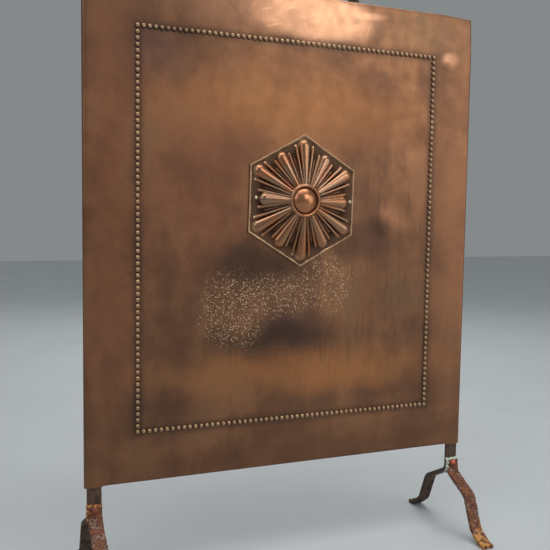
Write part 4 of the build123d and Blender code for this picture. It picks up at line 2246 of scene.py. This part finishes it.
@dataclass
class Studio:
    """Floor, lights and camera."""

    aim: Vector
    camera_place: tuple[float, float, float] = (-0.38175, -0.85165, 0.42639)
    camera_turn: tuple[float, float, float] = (85.472, -0.820, -22.717)
    lens: float = 49.49
    sensor: float = 36.0
    floor_size: float = 12.0
    room_tint: Colour = (0.235, 0.25, 0.255, 1.0)
    sky_power: float = 0.45
    sky_angle: float = 70.0
    sky_tilt: float = 12.0

    @staticmethod
    def _stand(name: str, data: bpy.types.ID) -> Piece:
        """Add a camera or a light to the scene.

        Args:
            name: its name.
            data: its camera or light data.

        Returns:
            The object.
        """
        item = bpy.data.objects.new(name, data)
        bpy.context.scene.collection.objects.link(item)
        return item

    def set_camera(self) -> None:
        """Put the camera at the viewing angle."""
        data = bpy.data.cameras.new("camera")
        data.lens = self.lens
        data.sensor_width = self.sensor
        camera = self._stand("camera", data)
        camera.location = self.camera_place
        camera.rotation_euler = [math.radians(angle) for angle in self.camera_turn]
        bpy.context.scene.camera = camera

    def lay_floor(self, finish: Finish) -> None:
        """Lay a large pale floor.

        Args:
            finish: its finish.
        """
        select_nothing()
        bpy.ops.mesh.primitive_plane_add(size=self.floor_size)
        floor = bpy.context.active_object
        floor.name = "studio_floor"
        floor.data.materials.append(finish.material())

    def hang(self, panel: SoftPanel) -> None:
        """Hang one soft light panel, aimed at the screen.

        Args:
            panel: the panel.
        """
        data = bpy.data.lights.new(panel.name, "AREA")
        data.shape = "RECTANGLE"
        data.size, data.size_y = panel.size
        data.energy = panel.power
        data.color = panel.tint
        light = self._stand(panel.name, data)
        light.location = panel.spot
        light.rotation_euler = (self.aim - Vector(panel.spot)).to_track_quat("-Z", "Y").to_euler()

    def light(self) -> None:
        """Light the screen softly from above and from all sides."""
        world = bpy.data.worlds.new("studio")
        world.use_nodes = True
        background = world.node_tree.nodes["Background"]
        background.inputs["Color"].default_value = self.room_tint
        background.inputs["Strength"].default_value = 1.0
        bpy.context.scene.world = world
        sky = bpy.data.lights.new("sky", "SUN")
        sky.energy = self.sky_power
        sky.angle = math.radians(self.sky_angle)
        self._stand("sky", sky).rotation_euler = (math.radians(self.sky_tilt), 0.0, 0.0)
        for panel in SOFT_PANELS:
            self.hang(panel)


# ------------------------------------------------------------------ the screen


BLACK_TONES = (
    (0.3, Tone.IRON_BLACK),
    (0.5, Tone.IRON_BROWN),
    (0.62, Tone.IRON_BLACK),
    (0.72, Tone.RUST_DARK),
)
RUST_TONES = (
    (0.34, Tone.RUST_DARK),
    (0.42, Tone.RUST_RED),
    (0.455, Tone.RUST_ORANGE),
    (0.485, Tone.RUST_DARK),
    (0.55, Tone.RUST_RED),
    (0.585, Tone.RUST_GREY),
    (0.62, Tone.RUST_DARK),
    (0.70, Tone.RUST_ORANGE),
)
# Each patch, a stain or a painted highlight: across, up, its two reaches, its tone, strength, softness of
# edge and wander.
# bright top: partly worn, cleaner copper and partly a painted highlight
WORN_TOP_AND_HIGHLIGHT = ColourPatch(0.026, 0.668, 0.078, 0.030, Tone.COPPER_BRIGHT, 0.6, 0.3, 0.02)
STAINS_AND_HIGHLIGHTS = (
    WORN_TOP_AND_HIGHLIGHT,
    # painted highlight: the softer left end of the bright top
    ColourPatch(-0.085, 0.668, 0.050, 0.026, Tone.COPPER_BRIGHT, 0.25, 0.8, 0.04),
    ColourPatch(0.190, 0.662, 0.075, 0.026, Tone.OLIVE, 0.4, 0.7, 0.05),
    # painted highlight on the small knock near the upper right
    ColourPatch(0.221, 0.632, 0.011, 0.009, Tone.COPPER_BRIGHT, 0.6, 0.6, 0.01),
    # painted highlight along a small crease near the top edge
    ColourPatch(0.097, 0.676, 0.022, 0.004, Tone.COPPER_BRIGHT, 0.5, 0.6, 0.01),
    ColourPatch(-0.150, 0.640, 0.110, 0.070, Tone.COPPER_DARK, 0.55, 0.8, 0.06),
    ColourPatch(0.000, 0.555, 0.150, 0.040, Tone.COPPER_ORANGE, 0.5, 0.8, 0.06),
    ColourPatch(-0.170, 0.605, 0.034, 0.028, Tone.PLUM, 0.6, 0.8, 0.05),
    ColourPatch(-0.120, 0.450, 0.060, 0.090, Tone.COPPER_RED, 0.45, 0.8, 0.08),
    ColourPatch(-0.225, 0.420, 0.030, 0.200, Tone.COPPER_RED, 0.5, 0.8, 0.05),
    ColourPatch(0.232, 0.400, 0.024, 0.200, Tone.COPPER_WARM, 0.8, 0.8, 0.04),
    ColourPatch(-0.045, 0.370, 0.060, 0.026, Tone.SMOKE, 0.85, 0.8, 0.04),
    ColourPatch(0.105, 0.395, 0.060, 0.018, Tone.SMOKE, 0.45, 0.8, 0.05),
    ColourPatch(-0.008, 0.276, 0.040, 0.032, Tone.PLUM, 0.95, 0.8, 0.03),
    ColourPatch(0.000, 0.270, 0.080, 0.024, Tone.SMOKE, 0.5, 0.8, 0.04),
    ColourPatch(-0.070, 0.270, 0.050, 0.022, Tone.SMOKE, 0.55, 0.8, 0.05),
    ColourPatch(0.020, 0.235, 0.160, 0.024, Tone.COPPER_ORANGE, 0.6, 0.8, 0.05),
    ColourPatch(0.070, 0.225, 0.070, 0.020, Tone.COPPER_ORANGE, 0.4, 0.8, 0.04),
    ColourPatch(-0.180, 0.190, 0.060, 0.030, Tone.SMOKE, 0.4, 0.8, 0.06),
    ColourPatch(0.000, 0.125, 0.260, 0.026, Tone.COPPER_DARK, 0.6, 0.8, 0.05),
    ColourPatch(0.150, 0.330, 0.050, 0.070, Tone.SMOKE, 0.3, 0.8, 0.08),
)


def build_panel(effects: Effects) -> None:
    """Build the embossed sheet.

    Args:
        effects: the shared effects.
    """
    low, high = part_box("copper_panel")
    upright_low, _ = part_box("right_upright")
    panel = CopperPanel(low, high, upright_low.x)
    copper = AgedCopper(
        "aged_copper",
        effects,
        front=-panel.high.y,
        half_width=panel.half_border,
        half_height=(panel.border_high - panel.border_low) / 2,
        middle=(panel.border_high + panel.border_low) / 2,
        brightened=WORN_TOP_AND_HIGHLIGHT,
        stains=STAINS_AND_HIGHLIGHTS,
    )
    panel.build(copper)


def build_rosette(effects: Effects) -> None:
    """Build the pressed rosette and its pins.

    Args:
        effects: the shared effects.
    """
    rosette = Rosette(*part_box("rosette_plaque"))
    pressed = RubbedCopper(
        "rubbed_copper",
        effects,
        centre=tuple(rosette.middle),
        ground=rosette.high.y - rosette.sheet,
        boss=rosette.boss,
        root=rosette.root,
        rise=rosette.boss_rise,
    )
    rosette.build(pressed)
    rosette.build_pins(RivetMetal("tinned_pin", effects, Tone.TIN, Tone.VERDIGRIS))


def build_legs(effects: Effects, black: Iron) -> None:
    """Build the uprights with the rear legs, the front legs, their crust and their rivets.

    Args:
        effects: the shared effects.
        black: the finish of the frame.
    """
    rust = Iron(
        "flaking_rust",
        effects,
        RUST_TONES,
        fineness=95.0,
        rough_low=0.6,
        rough_high=0.95,
        metal=0.1,
        depth=0.0014,
        foot_tone=Tone.OCHRE,
    )
    crusts = {
        "left": Crust("rusted_crust", effects, Tone.RUST_RED, Tone.RUST_ORANGE, Tone.OCHRE),
        "right": Crust("green_crust", effects, Tone.VERDIGRIS, Tone.CHALK, Tone.CHALK),
    }
    _, front_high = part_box("right_front_leg")
    legs = Legs(*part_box("right_upright"), front_high.z)
    for side, word in ((-1.0, "left"), (1.0, "right")):
        legs.build_upright(side, f"{word}_upright_and_rear_leg", black, f"{word}_upright")
        legs.build_front(side, f"{word}_front_leg_bar", rust, f"{word}_front_leg")
        legs.build_crust(side, f"{word}_leg_crust", crusts[word], f"{word}_leg_braze")
    red_copper = RivetMetal("red_copper", effects, Tone.RED_COPPER, Tone.RUST_RED, rough=0.45, worn_side=True)
    legs.build_rivets(*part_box("leg_rivets"), red_copper)


def build_handle(black: Iron) -> None:
    """Build the handle and its rivets.

    Args:
        black: the finish of the frame.
    """
    _, panel_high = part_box("copper_panel")
    handle = CarryingHandle(*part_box("carrying_handle"), panel_high.z)
    handle.build(black)
    handle.build_rivets(*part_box("handle_rivets"), black)


def dress_frame(black: Iron) -> None:
    """Dress the rails and the corner rivets, which stay as they are.

    Args:
        black: the finish of the frame.
    """
    for node in ("top_rail", "bottom_rail", "frame_corner_rivets"):
        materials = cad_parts[node].data.materials
        materials.clear()
        materials.append(black.material())


def set_studio(effects: Effects) -> None:
    """Lay the floor, hang the lights and set the camera.

    Args:
        effects: the shared effects.
    """
    low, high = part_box("copper_panel")
    studio = Studio((low + high) / 2)
    studio.lay_floor(StudioFloor("pale_floor", effects))
    studio.light()
    studio.set_camera()


def main() -> None:
    """Build the screen and its studio."""
    logging.basicConfig(level=logging.INFO, format="%(message)s")
    bpy.context.scene.view_settings.view_transform = "Standard"
    effects = Effects()
    black = Iron("black_iron", effects, BLACK_TONES, foot_tone=Tone.RUST_DARK, foot_rise=0.095)
    build_panel(effects)
    build_rosette(effects)
    build_legs(effects, black)
    build_handle(black)
    dress_frame(black)
    set_studio(effects)


if __name__ == "__main__":
    main()
